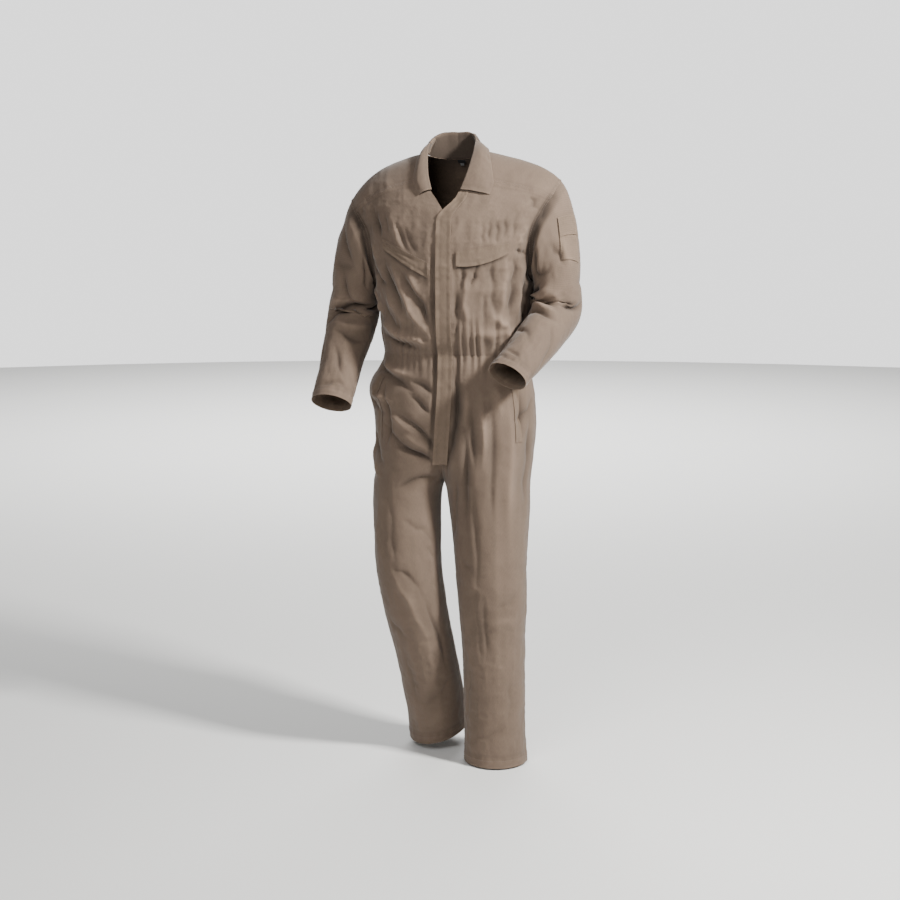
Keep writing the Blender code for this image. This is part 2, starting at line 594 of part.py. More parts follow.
def sleeve_sheet(side, share, station):
    """Points of a sleeve with folds, and their normals."""
    share, station = np.broadcast_arrays(np.asarray(share, float), np.asarray(station, float))
    sign = 1 if side == "left" else -1
    point = sleeve_point(side, share, station)
    inside = np.clip(station, 0.004, CUFF_STATION - 0.004)
    along = sleeve_point(side, share, inside + 0.003) - sleeve_point(side, share, inside - 0.003)
    around = sleeve_point(side, share + 0.003, station) - sleeve_point(side, share - 0.003, station)
    normal = sign * unit(np.cross(along, around))
    seam = (1 - ease(station, 0.0, 0.05))[..., None]
    shift = np.array([sign * CAP_SEAM["out"], 0.0, -CAP_SEAM["down"]])
    relief = sleeve_relief(side, share, station)[..., None]
    return point + normal * relief + shift * seam, normal


def remove_everything():
    for item in list(bpy.data.objects):
        bpy.data.objects.remove(item, do_unlink=True)


def plain_material(name, colour, roughness):
    material = bpy.data.materials.new(name)
    material.use_nodes = True
    shader = material.node_tree.nodes["Principled BSDF"]
    shader.inputs["Base Color"].default_value = (*colour, 1.0)
    shader.inputs["Roughness"].default_value = roughness
    shader.inputs["Metallic"].default_value = 0.0
    return material


def grid_faces(rows, columns, wrap=False, missing=()):
    """Quads of a grid of points; a wrapped grid closes on itself round each row."""
    faces = []
    for row in range(rows - 1):
        for column in range(columns if wrap else columns - 1):
            if (row, column) in missing:
                continue
            after = (column + 1) % columns
            faces.append((row * columns + column, row * columns + after,
                          (row + 1) * columns + after, (row + 1) * columns + column))
    return faces


def cloth_wall(name, outer, inner, faces, colour, roughness=0.9):
    """A closed wall between two sheets of points that share their faces."""
    outer = np.asarray(outer).reshape(-1, 3)
    inner = np.asarray(inner).reshape(-1, 3)
    count = len(outer)
    points = np.concatenate([outer, inner])
    edges = {}
    for face in faces:
        for start, end in zip(face, face[1:] + face[:1]):
            edges[(start, end)] = True
    rim = [(start, end) for start, end in edges if (end, start) not in edges]
    sides = [(end, start, start + count, end + count) for start, end in rim]
    back = [tuple(index + count for index in reversed(face)) for face in faces]
    every = list(faces) + back + sides
    corners = points[np.array(every)]
    volume = np.einsum("ij,ij->", corners[:, 0], np.cross(corners[:, 1], corners[:, 2]))
    volume += np.einsum("ij,ij->", corners[:, 0], np.cross(corners[:, 2], corners[:, 3]))
    if volume < 0:
        every = [tuple(reversed(face)) for face in every]
    mesh = bpy.data.meshes.new(name)
    used = sorted({index for face in every for index in face})
    place = {index: new for new, index in enumerate(used)}
    mesh.from_pydata(points[used].tolist(), [], [tuple(place[i] for i in face) for face in every])
    mesh.validate()
    mesh.shade_smooth()
    mesh.set_sharp_from_angle(angle=math.radians(50))
    mesh.materials.append(plain_material(name, colour, roughness))
    item = bpy.data.objects.new(name, mesh)
    bpy.context.scene.collection.objects.link(item)
    return item


def walled(name, sheet, faces, colour=TWILL, lift=0.0, wall=WALL):
    """A wall whose outside is a sheet of points and normals, moved out by lift."""
    point, normal = sheet
    outer = point + normal * lift
    return cloth_wall(name, outer, outer - normal * wall, faces, colour)


def straighten_between(sheet, row):
    """Every second point of a row set halfway between its neighbours, to meet a coarser edge."""
    for values in sheet:
        values[row, 1::2] = 0.5 * (values[row, :-1:2] + values[row, 2::2])


def yoke_columns(station, inside, margin):
    """Angles of the yoke's columns at each station: a wing, the middle, a wing."""
    arm = np.radians(track(ARMHOLE, "degrees", station)) - margin
    wing = inside[:, None] + (arm - inside)[:, None] * np.linspace(0, 1, YOKE_WING)
    centre = inside[:, None] * np.linspace(-1, 1, YOKE_MIDDLE + 1)[1:-1]
    return np.concatenate([-wing[:, ::-1], centre, wing], axis=1)


def front_panel(side):
    """One front from the yoke seam to the waist, cut out for the neck and the arm."""
    sign = 1 if side == "left" else -1
    station = np.array([row for row in ARM_ROWS if row >= YOKE_FRONT] + list(WAIST_ROWS))
    columns = FRONT_COLUMNS
    inner = np.radians(track(NECKLINE, "degrees", station))
    inner[station >= 0.387] = 0
    outer = np.radians(track(ARMHOLE, "degrees", station))
    outer[station >= ARMPIT] = math.pi / 2
    half = track(BODY, "half", station)
    margin = HALF_SEAM / half
    part = np.linspace(0, 1, columns)
    angle = (inner + margin)[:, None] * (1 - part) + (outer - margin)[:, None] * part
    rows = np.array(station)
    rows[0] += SEAM_GAP
    rows[-1] -= WAIST_SEAM
    angle[0] = np.linspace(inner[0], outer[0] - margin[0], columns)
    sheet = body_sheet(rows[:, None], sign * angle)
    straighten_between(sheet, 0)
    walled("front_" + side, sheet, grid_faces(len(rows), columns))


def back_panel():
    """The back from its yoke seam to the waist, in one piece from side to side."""
    station = -np.array([row for row in ARM_ROWS if row >= YOKE_BACK] + list(WAIST_ROWS))
    outer = np.radians(track(ARMHOLE, "degrees", station))
    outer[station <= -ARMPIT] = math.pi / 2
    margin = HALF_SEAM / track(BODY, "half", station)
    inside = np.radians(track(NECKLINE, "degrees", -NECK_BACK)) * np.ones(len(station))
    seam = yoke_columns(station[:1], inside[:1], margin[:1])[0]
    columns = 2 * len(seam) - 1
    angle = (outer - margin)[:, None] * np.linspace(-1, 1, columns)
    angle[0, ::2] = seam
    angle[0, 1::2] = 0.5 * (seam[1:] + seam[:-1])
    rows = np.array(station)
    rows[0] -= SLANT_SEAM
    rows[-1] += WAIST_SEAM
    sheet = body_sheet(rows[:, None], angle)
    straighten_between(sheet, 0)
    walled("back", sheet, grid_faces(len(rows), columns))


def yoke():
    """The shoulder yoke: over both shoulders and across the upper back, open at the neck."""
    front = [row for row in ARM_ROWS if row <= YOKE_FRONT]
    behind = [row for row in ARM_ROWS if 0 < row <= YOKE_BACK]
    station = np.array(front[::-1] + [-row for row in behind])
    neck = np.radians(track(NECKLINE, "degrees", np.maximum(station, -NECK_BACK)))
    margin = HALF_SEAM / track(BODY, "half", station)
    angle = yoke_columns(station, neck, margin)
    columns = angle.shape[1]
    missing = {(row, column) for row in range(len(station) - 1)
               for column in range(YOKE_WING - 1, YOKE_WING - 1 + YOKE_MIDDLE)
               if station[row] > -NECK_BACK + 1e-6}
    rows = np.array(station)
    rows[0] -= SEAM_GAP
    rows[-1] += SLANT_SEAM
    faces = grid_faces(len(rows), columns, missing=missing)
    walled("yoke", body_sheet(rows[:, None], angle), faces)


def trouser_panel(side, face):
    """A trouser front or back in one piece from the waist to the hem."""
    sign = 1 if face == "front" else -1
    foot = LEGS[side]["key"][0]
    level = np.array(HIP_ROWS + LEG_ROWS + (foot,))
    level[0] -= HALF_SEAM
    columns = 11
    part = np.linspace(0, 1, columns)
    turn = hip_turn(level[:, None], sign * part)
    half = np.where(level >= CROTCH, track(HIPS, side, level) / (1 + track(HIPS, "split", level)),
                    track(LEGS[side], "half", level))
    depth = track(HIPS, face, level)
    margin = SLANT_SEAM / np.minimum(half, depth)
    turn[:, 0] += sign * 0.9 * margin
    turn[:, -1] -= sign * margin
    point, normal = leg_sheet(side, level[:, None], turn)
    point[..., 0] += SLANT_SEAM * (1 if side == "left" else -1)
    walled("trouser_%s_%s" % (face, side), (point, normal), grid_faces(len(level), columns))


def sleeve(side):
    """A sleeve in one piece, closed by the seam under the arm."""
    front = [round_share(row) for row in ARM_ROWS[::-1]]
    behind = [round_share(-row) for row in ARM_ROWS[1:-1]]
    share = np.array(front + behind)
    station = np.array(SLEEVE_ROWS)
    sheet = sleeve_sheet(side, share[None, :], station[:, None])
    walled("sleeve_" + side, sheet, grid_faces(len(station), len(share), wrap=True))


def collar():
    """A collar cut in one with its stand, rolled over and lying open on the fronts."""
    part = np.linspace(-1, 1, COLLAR_COLUMNS)
    size = np.abs(part)
    sign = np.sign(part)
    roll = np.stack([sign * track(COLLAR, "roll_x", size), track(COLLAR, "roll_y", size),
                     track(COLLAR, "roll_z", size)], axis=-1)
    roll[..., 0] += COLLAR_SHIFT * (1 - ease(size, 0.45, 0.85))
    foot_station = track(COLLAR, "foot_station", size)
    foot_angle = sign * np.radians(track(COLLAR, "foot_degrees", size))
    edge_station = track(COLLAR, "edge_station", size)
    narrowing = 1 - np.where(part < 0, RIGHT_LEAF_NARROWING, 0) * size**2
    edge_angle = sign * narrowing * np.radians(track(COLLAR, "edge_degrees", size))
    foot, foot_normal = body_sheet(foot_station, foot_angle)
    foot = foot + foot_normal * LAY_ON
    edge = body_point(edge_station, edge_angle)
    line = unit(np.gradient(roll, axis=0))
    fall = edge - roll
    fall = unit(fall - line * np.sum(fall * line, axis=-1, keepdims=True))
    rise = roll - foot
    stand = unit(rise - line * np.sum(rise * line, axis=-1, keepdims=True))
    crest = unit(stand - 0.9 * fall)
    lean = unit(fall - crest * np.sum(fall * crest, axis=-1, keepdims=True))
    rows = [foot, foot + 0.5 * (roll - foot) - 0.0015 * lean]
    for degrees in (-80, -25, 25, 80):
        turned = math.radians(degrees)
        rows.append(roll + COLLAR_BEND * (lean * math.sin(turned) + crest * (math.cos(turned) - 1)))
    turned_over = rows[-1]
    away = surface_normal(body_point, edge_station, edge_angle, foot_normal)
    edge = edge + away * track(COLLAR, "edge_lift", size)[:, None]
    for share in (0.3, 0.65, 1.0):
        bulge = 4 * share * (1 - share) * track(COLLAR, "bulge", size)
        rows.append(turned_over * (1 - share) + edge * share + away * bulge[:, None])
    outer = np.array(rows)
    around = np.gradient(outer, axis=1)
    along = np.gradient(outer, axis=0)
    normal = unit(np.cross(around, along))
    if normal[-2, outer.shape[1] // 2, 1] < 0:
        normal = -normal
    cloth_wall("collar", outer, outer - normal * WALL, grid_faces(len(rows), len(part)), TWILL)


def front_spot(x, z):
    """Station and angle of the body's front at a distance from the middle plane and a level."""
    station = np.sqrt(np.maximum(-z, 1e-4))
    for _ in range(24):
        half = track(BODY, "half", station)
        angle = np.arcsin(np.clip(x / half, -1, 1))
        gap = body_point(station, angle)[..., 2] - z
        station = np.clip(station + gap * 0.9, 0.02, 0.7)
    return station, np.arcsin(np.clip(x / track(BODY, "half", station), -1, 1))


def trunk_front(x, z):
    """Points and normals on the front of the trunk, above or below the waist."""
    x, z = np.broadcast_arrays(np.asarray(x, float), np.asarray(z, float))
    station, angle = front_spot(x, np.maximum(z, -WAIST_DROP))
    high, high_normal = body_sheet(station, angle)
    low = np.empty_like(high)
    low_normal = np.empty_like(high)
    level = np.minimum(z, -WAIST_DROP)
    mid = track(HIPS, "mid", level)
    split = track(HIPS, "split", level)
    for side, sign in (("left", 1), ("right", -1)):
        half = track(HIPS, side, level) / (1 + split)
        turn = np.arccos(np.clip(sign * (x - mid) / half - split, -1, 1))
        point, normal = leg_sheet(side, level, turn)
        here = (x - mid) * sign >= 0
        low[here] = point[here]
        low_normal[here] = normal[here]
    above = (z > -WAIST_DROP)[..., None]
    return np.where(above, high, low), np.where(above, high_normal, low_normal)


def placket():
    """The placket: a flat band down the front that covers the closure, curving open at the neck."""
    level = np.concatenate([np.linspace(-0.102, -0.170, 7), np.linspace(-0.190, PLACKET_FOOT, 29)])
    opening = ease(level, -0.168, -0.100)
    edge = -PLACKET_HALF + 0.049 * opening
    width = 2 * PLACKET_HALF - 0.012 * opening
    mid = np.where(level < -WAIST_DROP, track(HIPS, "mid", np.minimum(level, -WAIST_DROP)), 0.0)
    part = np.linspace(0, 1, 4)
    x = (mid + edge)[:, None] + width[:, None] * part
    samples = (mid + edge)[:, None] + width[:, None] * np.linspace(-0.06, 1.06, 13)
    beneath = trunk_front(samples, level[:, None])[0]
    forward = np.minimum.accumulate(beneath[..., 1], axis=1)[:, -1:]
    surface = trunk_front(x, level[:, None])[0]
    flat = np.stack(np.broadcast_arrays(x, forward, level[:, None]), axis=-1)
    steep = ease(level, -0.30, -0.15)[:, None, None]
    base = flat * (1 - steep) + surface * steep
    base[..., 1] = np.minimum(base[..., 1], surface[..., 1])
    normal = np.zeros_like(base)
    normal[..., 1] = -1
    chest = trunk_front(x, level[:, None])[1]
    normal = unit(normal * (1 - steep) + chest * steep)
    lift = LAY_ON + WALL
    cloth_wall("placket", base + normal * lift, base + normal * (lift - WALL),
               grid_faces(len(level), len(part)), TWILL_TRIM)


def front_zip():
    """The closed zip's tape behind the placket, on the inside of the fronts."""
    level = np.linspace(ZIP_TOP, ZIP_FOOT, 22)
    mid = np.where(level < -WAIST_DROP, track(HIPS, "mid", np.minimum(level, -WAIST_DROP)), 0.0)
    part = np.linspace(-1, 1, 3)
    x = mid[:, None] + ZIP_HALF * part
    dense = np.linspace(ZIP_TOP + 0.004, ZIP_FOOT - 0.004, 160)
    low = np.minimum(dense, -WAIST_DROP)
    dense_mid = np.where(dense < -WAIST_DROP, track(HIPS, "mid", low), 0.0)
    across = dense_mid[:, None] + 1.1 * ZIP_HALF * np.linspace(-1, 1, 9)
    behind = trunk_front(across, dense[:, None])[0]
    back_most = behind[..., 1].max(axis=1)
    reach = np.array([back_most[np.abs(dense - z) < 0.020].max() for z in level])
    y = reach[:, None] + WALL + ZIP_CLEARANCE
    outer = np.stack(np.broadcast_arrays(x, y, level[:, None]), axis=-1)
    inner = outer + np.array([0.0, ZIP_WALL, 0.0])
    cloth_wall("front_zip", outer, inner, grid_faces(len(level), len(part)), TAPE)


def chest_flap(side):
    """A pocket flap that slopes down towards the placket and stands off at its free edge."""
    sign = 1 if side == "left" else -1
    size = CHEST_FLAP[side]
    across = np.linspace(0, 1, 9)
    x = size["inner"] + (size["outer"] - size["inner"]) * across
    top = size["top_inner"] + (size["top_outer"] - size["top_inner"]) * across
    foot = size["foot_inner"] + (size["foot_outer"] - size["foot_inner"]) * across
    foot = foot + 4 * size["foot_bow"] * across * (1 - across)
    down = np.linspace(0, 1, 4)[:, None]
    level = top * (1 - down) + foot * down
    station, angle = front_spot(np.broadcast_to(sign * x, level.shape), level)
    away = surface_normal(body_point, station, angle, np.array([0.0, -1.0, 0.0]))
    lift = WALL + LAY_ON + FLAP_STAND * down**1.5
    outer = body_point(station, angle) + away * lift[..., None]
    cloth_wall("chest_flap_" + side, outer, outer - away * WALL, grid_faces(4, 9), TWILL_TRIM)


def pocket_welt(side):
    """The welt of a side pocket, on the trouser front beside the side seam."""
    sign = 1 if side == "left" else -1
    size = POCKET_WELT
    level = np.linspace(size["high"], size["low"], 10)[:, None]
    part = (size["high"] - level) / (size["high"] - size["low"])
    reach = track(HIPS, side, level)
    mid = track(HIPS, "mid", level)
    outer = (0.86 + 0.03 * part) * reach
    x = mid + sign * (outer - size["width"] * np.linspace(0, 1, 3))
    walled("pocket_welt_" + side, trunk_front(x, np.broadcast_to(level, x.shape)),
           grid_faces(10, 3), TWILL_TRIM, lift=WELT_CLEARANCE + WALL)


def sleeve_patch(name, size, lift):
    """A piece that lies on the left upper sleeve, made from the sleeve's own surface."""
    share = np.linspace(size["round_low"], size["round_high"], 7)
    station = np.linspace(size["top"], size["foot"], 7)
    sheet = sleeve_sheet("left", share[None, :], station[:, None])
    walled(name, sheet, grid_faces(7, 7), TWILL_TRIM, lift=lift)


def back_label(name, size, lift, colour):
    """A blank label hanging flat on the inside of the yoke at the centre back."""
    top = body_sheet(-NECK_BACK, 0.0)[0]
    fall = body_sheet(-NECK_BACK - 0.07, 0.0)[0] - top
    down = unit(fall)
    inward = unit(np.cross(down, np.array([1.0, 0.0, 0.0])))
    inward = inward if inward[1] < 0 else -inward
    drop = np.linspace(size["top"], size["foot"], 3)[:, None, None]
    across = np.linspace(size["left"], size["right"], 3)[None, :, None]
    outer = top + down * drop + np.array([1.0, 0.0, 0.0]) * across + inward * (WALL + lift)
    cloth_wall(name, outer, outer + inward * LABEL_WALL, grid_faces(3, 3), colour)


def main():
    remove_everything()
    yoke()
    back_panel()
    for side in ("right", "left"):
        front_panel(side)
        sleeve(side)
        chest_flap(side)
        for face in ("front", "back"):
            trouser_panel(side, face)
        pocket_welt(side)
    collar()
    placket()
    front_zip()
    sleeve_patch("sleeve_pocket", SLEEVE_POCKET, WALL + LAY_ON)
    sleeve_patch("sleeve_pocket_flap", SLEEVE_FLAP, 2 * (WALL + LAY_ON))
    back_label("neck_label", NECK_LABEL, LAY_ON, LABEL_BLACK)
    back_label("size_tab", SIZE_TAB, LAY_ON, LABEL_GREY)


main()
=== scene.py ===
"""A long-sleeved boiler suit of brown work twill, filled out as if worn and hollow.

Metres throughout: +X is the wearer's left, -Y the front, +Z up, and the origin lies between the
shoulders at the base of the neck. Each cut piece is a thin shell on the form of its solid, with
its own creases, seams and stitching worked out from the tables below.
"""

import math

import bpy
import numpy as np
from mathutils import Matrix, Vector


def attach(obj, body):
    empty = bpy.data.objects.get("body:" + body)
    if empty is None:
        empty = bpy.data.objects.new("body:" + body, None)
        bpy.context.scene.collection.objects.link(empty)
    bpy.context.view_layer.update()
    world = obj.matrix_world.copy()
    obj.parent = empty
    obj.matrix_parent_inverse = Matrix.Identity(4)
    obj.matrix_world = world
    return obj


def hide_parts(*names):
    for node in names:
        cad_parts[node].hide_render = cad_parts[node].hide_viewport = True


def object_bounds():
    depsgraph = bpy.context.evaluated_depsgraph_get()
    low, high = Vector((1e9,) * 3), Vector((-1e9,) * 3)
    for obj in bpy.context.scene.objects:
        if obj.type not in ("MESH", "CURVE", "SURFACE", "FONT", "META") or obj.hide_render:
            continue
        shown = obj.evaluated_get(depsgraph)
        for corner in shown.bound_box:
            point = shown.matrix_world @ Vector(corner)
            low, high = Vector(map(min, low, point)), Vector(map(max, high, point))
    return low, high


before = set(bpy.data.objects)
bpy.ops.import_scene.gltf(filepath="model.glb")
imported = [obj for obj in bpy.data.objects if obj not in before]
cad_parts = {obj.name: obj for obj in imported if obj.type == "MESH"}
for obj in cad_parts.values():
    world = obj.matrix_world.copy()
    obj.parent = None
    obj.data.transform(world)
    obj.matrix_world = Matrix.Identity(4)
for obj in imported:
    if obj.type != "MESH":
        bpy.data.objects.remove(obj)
CAD_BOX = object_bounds()

bl_info = {
    "name": "Boiler suit",
    "version": (1, 0, 0),
    "blender": (4, 5, 0),
    "location": "3D View > Sidebar > Boiler suit",
    "description": "Builds a worn boiler suit of work twill piece by piece",
    "category": "Object",
}

# The sign of x on each of the wearer's sides.
SIGN = {"right": -1, "left": 1}

# Driving sizes: lengths and levels in metres, stations (square roots of a drop), shares and rates.
WALL = 0.0018
LAYER_GAP = 0.0004
SHOULDER_LEAN = 0.045
WAIST_DROP = 0.49
ARMPIT = 0.570
YOKE_FRONT = 0.270
YOKE_BACK = 0.345
NECK_BACK = 0.120
CROTCH = -0.812
GATHER_PITCH = 0.018
GATHER_HEIGHT = 0.00299
PLACKET_HALF = 0.018
PLACKET_TOP = -0.102
PLACKET_FOOT = -0.762
ZIP_HALF = 0.013
ZIP_TOP = -0.158
ZIP_FOOT = -0.745
COLLAR_BEND = 0.0036
FLAP_STAND = 0.00132
RIGHT_LEAF_NARROWING = 0.38
COLLAR_SHIFT = -0.005
ARMHOLE_SINK = 0.011
ARMHOLE_SINK_REACH = 0.013
CAP_ROLL = 0.011
SIDE_TOUCH = 0.0075
TOOTH_PITCH = 0.0026
TOOTH_SIZE = (0.0014, 0.0052, 0.0018)
STITCH_INSETS = (0.0016, 0.0075)
YOKE_STITCH_INSETS = (0.0014, 0.0074)
STITCH_LIFT = 0.0002
TAPE_RIB = 0.0012
HEM_DEPTH = 0.020
CUFF_DEPTH = 0.018
SEAM_REACH = 0.05
HEM_REACH = 0.07
# Rows of the collar's mesh up its stand, round its roll and down its leaf.
STAND_ROWS = 9
BEND_ROWS = 7
FALL_ROWS = 18
# The floor and the camera, in metres; the lens is in millimetres and the angles are in degrees.
FLOOR_REACH = 12
FLOOR_GAP = 0.004
CAMERA_REACH = 3.692
CAMERA_HEIGHT = -0.193
CAMERA_LENS = 59.24
CAMERA_AZIMUTH = 11.0
CAMERA_TILT = 8.4
# Metres of cloth to a unit of station at the yoke seams, and to a radian of the body, of its sides
# and of a leg; the last is the cloth all round a sleeve.
YOKE_FRONT_PACE = 0.63
YOKE_BACK_PACE = 0.73
BODY_ROUND = 0.19
SIDE_ROUND = 0.14
LEG_ROUND = 0.09
SLEEVE_ROUND = 0.37
# A wave texture of scale 1 has a band every 0.314.
WAVE_SCALE = 0.314
NOISE_CELLS = 61
# How pale or dark the cloth is rubbed and painted: its mean, what a metre of fold (rubbed crests,
# painted shade in the hollows) or of seam adds, and the limits; beside a piece's rim it is rubbed over
# RIM_WEAR.
WEAR_AND_SHADE_MEAN = 0.35
FOLD_WEAR_AND_SHADE = 95
WEAR_SEAM = 400
WEAR_AND_SHADE_RANGE = (-0.9, 1.25)
RIM_WEAR = 0.002
CREASE_COLUMNS = "u0 v0 u1 v1 bow width depth lean"
CREASE_DEPTH = 1.35
CREASE_MARGIN = 0.06


def table(names, *rows):
    """A short table as a dictionary of columns; the first column is what the rest run along."""
    names = names.split()
    columns = dict(zip(names, np.array(rows, float).T))
    columns["key"] = columns[names[0]]
    return columns


def creases(*rows):
    """A table of creases from rows in millimetres; a crease without a lean leaves it out."""
    lengths = np.array([row[:7] for row in rows]) / 1000
    leans = [row[7:] or (0,) for row in rows]
    return table(CREASE_COLUMNS, *np.column_stack([lengths, leans]))


# The body's sheet. Its station is the square root of the drop below the shoulder ridge, positive
# in front and negative behind, so the sheet crosses the ridge smoothly. half is the half width,
# depth the distance in front of (-) or behind (+) the ridge, fall the share of the shoulder line's
# drop that a row still has.
BODY = table(
    "station half depth fall",
    (-0.700, 0.178, 0.115, 0.00),
    (-0.678, 0.181, 0.121, 0.00),
    (-0.656, 0.184, 0.127, 0.00),
    (-0.625, 0.186, 0.132, 0.00),
    (-0.595, 0.190, 0.136, 0.00),
    (-0.570, 0.200, 0.139, 0.00),
    (-0.520, 0.222, 0.144, 0.10),
    (-0.469, 0.240, 0.146, 0.24),
    (-0.412, 0.254, 0.143, 0.40),
    (-0.361, 0.264, 0.136, 0.56),
    (-0.300, 0.272, 0.121, 0.72),
    (-0.245, 0.277, 0.102, 0.84),
    (-0.173, 0.281, 0.075, 0.94),
    (-0.063, 0.285, 0.028, 1.00),
    (0.000, 0.285, 0.000, 1.00),
    (0.063, 0.285, -0.023, 1.00),
    (0.173, 0.281, -0.066, 0.94),
    (0.245, 0.277, -0.093, 0.84),
    (0.300, 0.272, -0.111, 0.72),
    (0.361, 0.264, -0.128, 0.56),
    (0.412, 0.254, -0.139, 0.40),
    (0.469, 0.240, -0.147, 0.24),
    (0.520, 0.222, -0.150, 0.10),
    (0.570, 0.200, -0.149, 0.00),
    (0.595, 0.190, -0.148, 0.00),
    (0.625, 0.186, -0.147, 0.00),
    (0.656, 0.184, -0.143, 0.00),
    (0.678, 0.181, -0.134, 0.00),
    (0.700, 0.178, -0.122, 0.00),
)

# The shoulder line: how far it has dropped at a reach from the middle plane.
SHOULDERS = table(
    "reach right left",
    (0.000, 0.0000, 0.0000),
    (0.050, 0.0002, 0.0010),
    (0.075, 0.0008, 0.0029),
    (0.100, 0.0043, 0.0090),
    (0.130, 0.0124, 0.0179),
    (0.160, 0.0221, 0.0267),
    (0.190, 0.0359, 0.0376),
    (0.210, 0.0490, 0.0460),
    (0.230, 0.0661, 0.0574),
    (0.245, 0.0825, 0.0680),
    (0.262, 0.1060, 0.0840),
    (0.285, 0.1480, 0.1150),
)

# Where the body's sheet is cut for the arms, in degrees round from the centre line.
ARMHOLE = table(
    "station degrees",
    (-0.570, 90.0),
    (-0.562, 82.5),
    (-0.540, 76.0),
    (-0.505, 69.5),
    (-0.469, 65.5),
    (-0.412, 63.0),
    (-0.345, 63.0),
    (-0.245, 65.0),
    (-0.120, 66.3),
    (0.000, 66.5),
    (0.120, 65.8),
    (0.245, 63.0),
    (0.345, 59.0),
    (0.412, 57.0),
    (0.469, 59.0),
    (0.505, 64.5),
    (0.540, 72.5),
    (0.562, 81.0),
    (0.570, 90.0),
)

# Where the body's sheet is cut for the neck, in degrees; zero is the centre line.
NECKLINE = table(
    "station degrees",
    (-0.120, 6.0),
    (-0.105, 10.0),
    (-0.080, 13.2),
    (0.000, 15.15),
    (0.120, 14.8),
    (0.190, 14.0),
    (0.245, 12.3),
    (0.300, 8.8),
    (0.345, 4.3),
    (0.387, 0.0),
)

# The trunk below the waist: mid is the middle plane, left and right the reach to each side of it,
# split how far the two legs have parted (0 one oval, 1 two closed tubes), y the middle of depth.
HIPS = table(
    "level mid left right split y front back",
    (-0.812, -0.0275, 0.2180, 0.1795, 1.000, 0.006, 0.112, 0.118),
    (-0.795, -0.0250, 0.2170, 0.1790, 0.930, 0.007, 0.115, 0.124),
    (-0.760, -0.0200, 0.2155, 0.1840, 0.720, 0.008, 0.121, 0.134),
    (-0.700, -0.0120, 0.2140, 0.1910, 0.420, 0.008, 0.128, 0.142),
    (-0.640, -0.0060, 0.2090, 0.2005, 0.200, 0.006, 0.131, 0.143),
    (-0.585, -0.0020, 0.2000, 0.2160, 0.090, 0.004, 0.130, 0.137),
    (-0.560, -0.0010, 0.1950, 0.2105, 0.060, 0.003, 0.128, 0.132),
    (-0.530, 0.0000, 0.1880, 0.1920, 0.030, 0.001, 0.126, 0.124),
    (-0.508, 0.0000, 0.1820, 0.1820, 0.010, 0.000, 0.124, 0.118),
    (-0.490, 0.0000, 0.1780, 0.1780, 0.000, 0.000, 0.122, 0.115),
)

# The legs below the crotch. rise_x and rise_y tilt a section where the leg leans.
LEGS = {
    "left": table(
        "level x y half front back rise_x rise_y",
        (-1.540, 0.1070, 0.004, 0.0811, 0.083, 0.086, 0.00, 0.00),
        (-1.459, 0.1045, 0.004, 0.0780, 0.080, 0.084, 0.00, 0.00),
        (-1.347, 0.1020, 0.003, 0.0780, 0.080, 0.084, 0.00, 0.00),
        (-1.235, 0.1005, 0.000, 0.0805, 0.082, 0.086, 0.00, 0.00),
        (-1.125, 0.0980, -0.005, 0.0865, 0.087, 0.090, 0.00, 0.00),
        (-1.024, 0.0935, -0.003, 0.0911, 0.092, 0.096, 0.00, 0.00),
        (-0.934, 0.0905, 0.002, 0.0974, 0.098, 0.104, 0.00, 0.00),
        (-0.862, 0.0870, 0.005, 0.1030, 0.104, 0.111, 0.00, 0.00),
        (-0.835, 0.0850, 0.006, 0.1050, 0.108, 0.115, 0.00, 0.00),
        (-0.812, 0.0815, 0.006, 0.1090, 0.112, 0.118, 0.00, 0.00),
    ),
    "right": table(
        "level x y half front back rise_x rise_y",
        (-1.502, -0.0643, 0.109, 0.0768, 0.081, 0.083, 0.20, 0.25),
        (-1.459, -0.0655, 0.095, 0.0765, 0.080, 0.082, 0.13, 0.24),
        (-1.347, -0.0750, 0.058, 0.0760, 0.080, 0.082, 0.10, 0.18),
        (-1.235, -0.0880, 0.020, 0.0775, 0.084, 0.084, 0.06, 0.10),
        (-1.125, -0.1050, -0.008, 0.0812, 0.090, 0.087, 0.02, 0.02),
        (-1.024, -0.1175, -0.014, 0.0831, 0.093, 0.092, 0.00, 0.00),
        (-0.934, -0.1210, -0.008, 0.0850, 0.097, 0.100, 0.00, 0.00),
        (-0.862, -0.1235, 0.001, 0.0855, 0.103, 0.109, 0.00, 0.00),
        (-0.835, -0.1215, 0.004, 0.0870, 0.108, 0.114, 0.00, 0.00),
        (-0.812, -0.1173, 0.006, 0.0898, 0.112, 0.118, 0.00, 0.00),
    ),
}

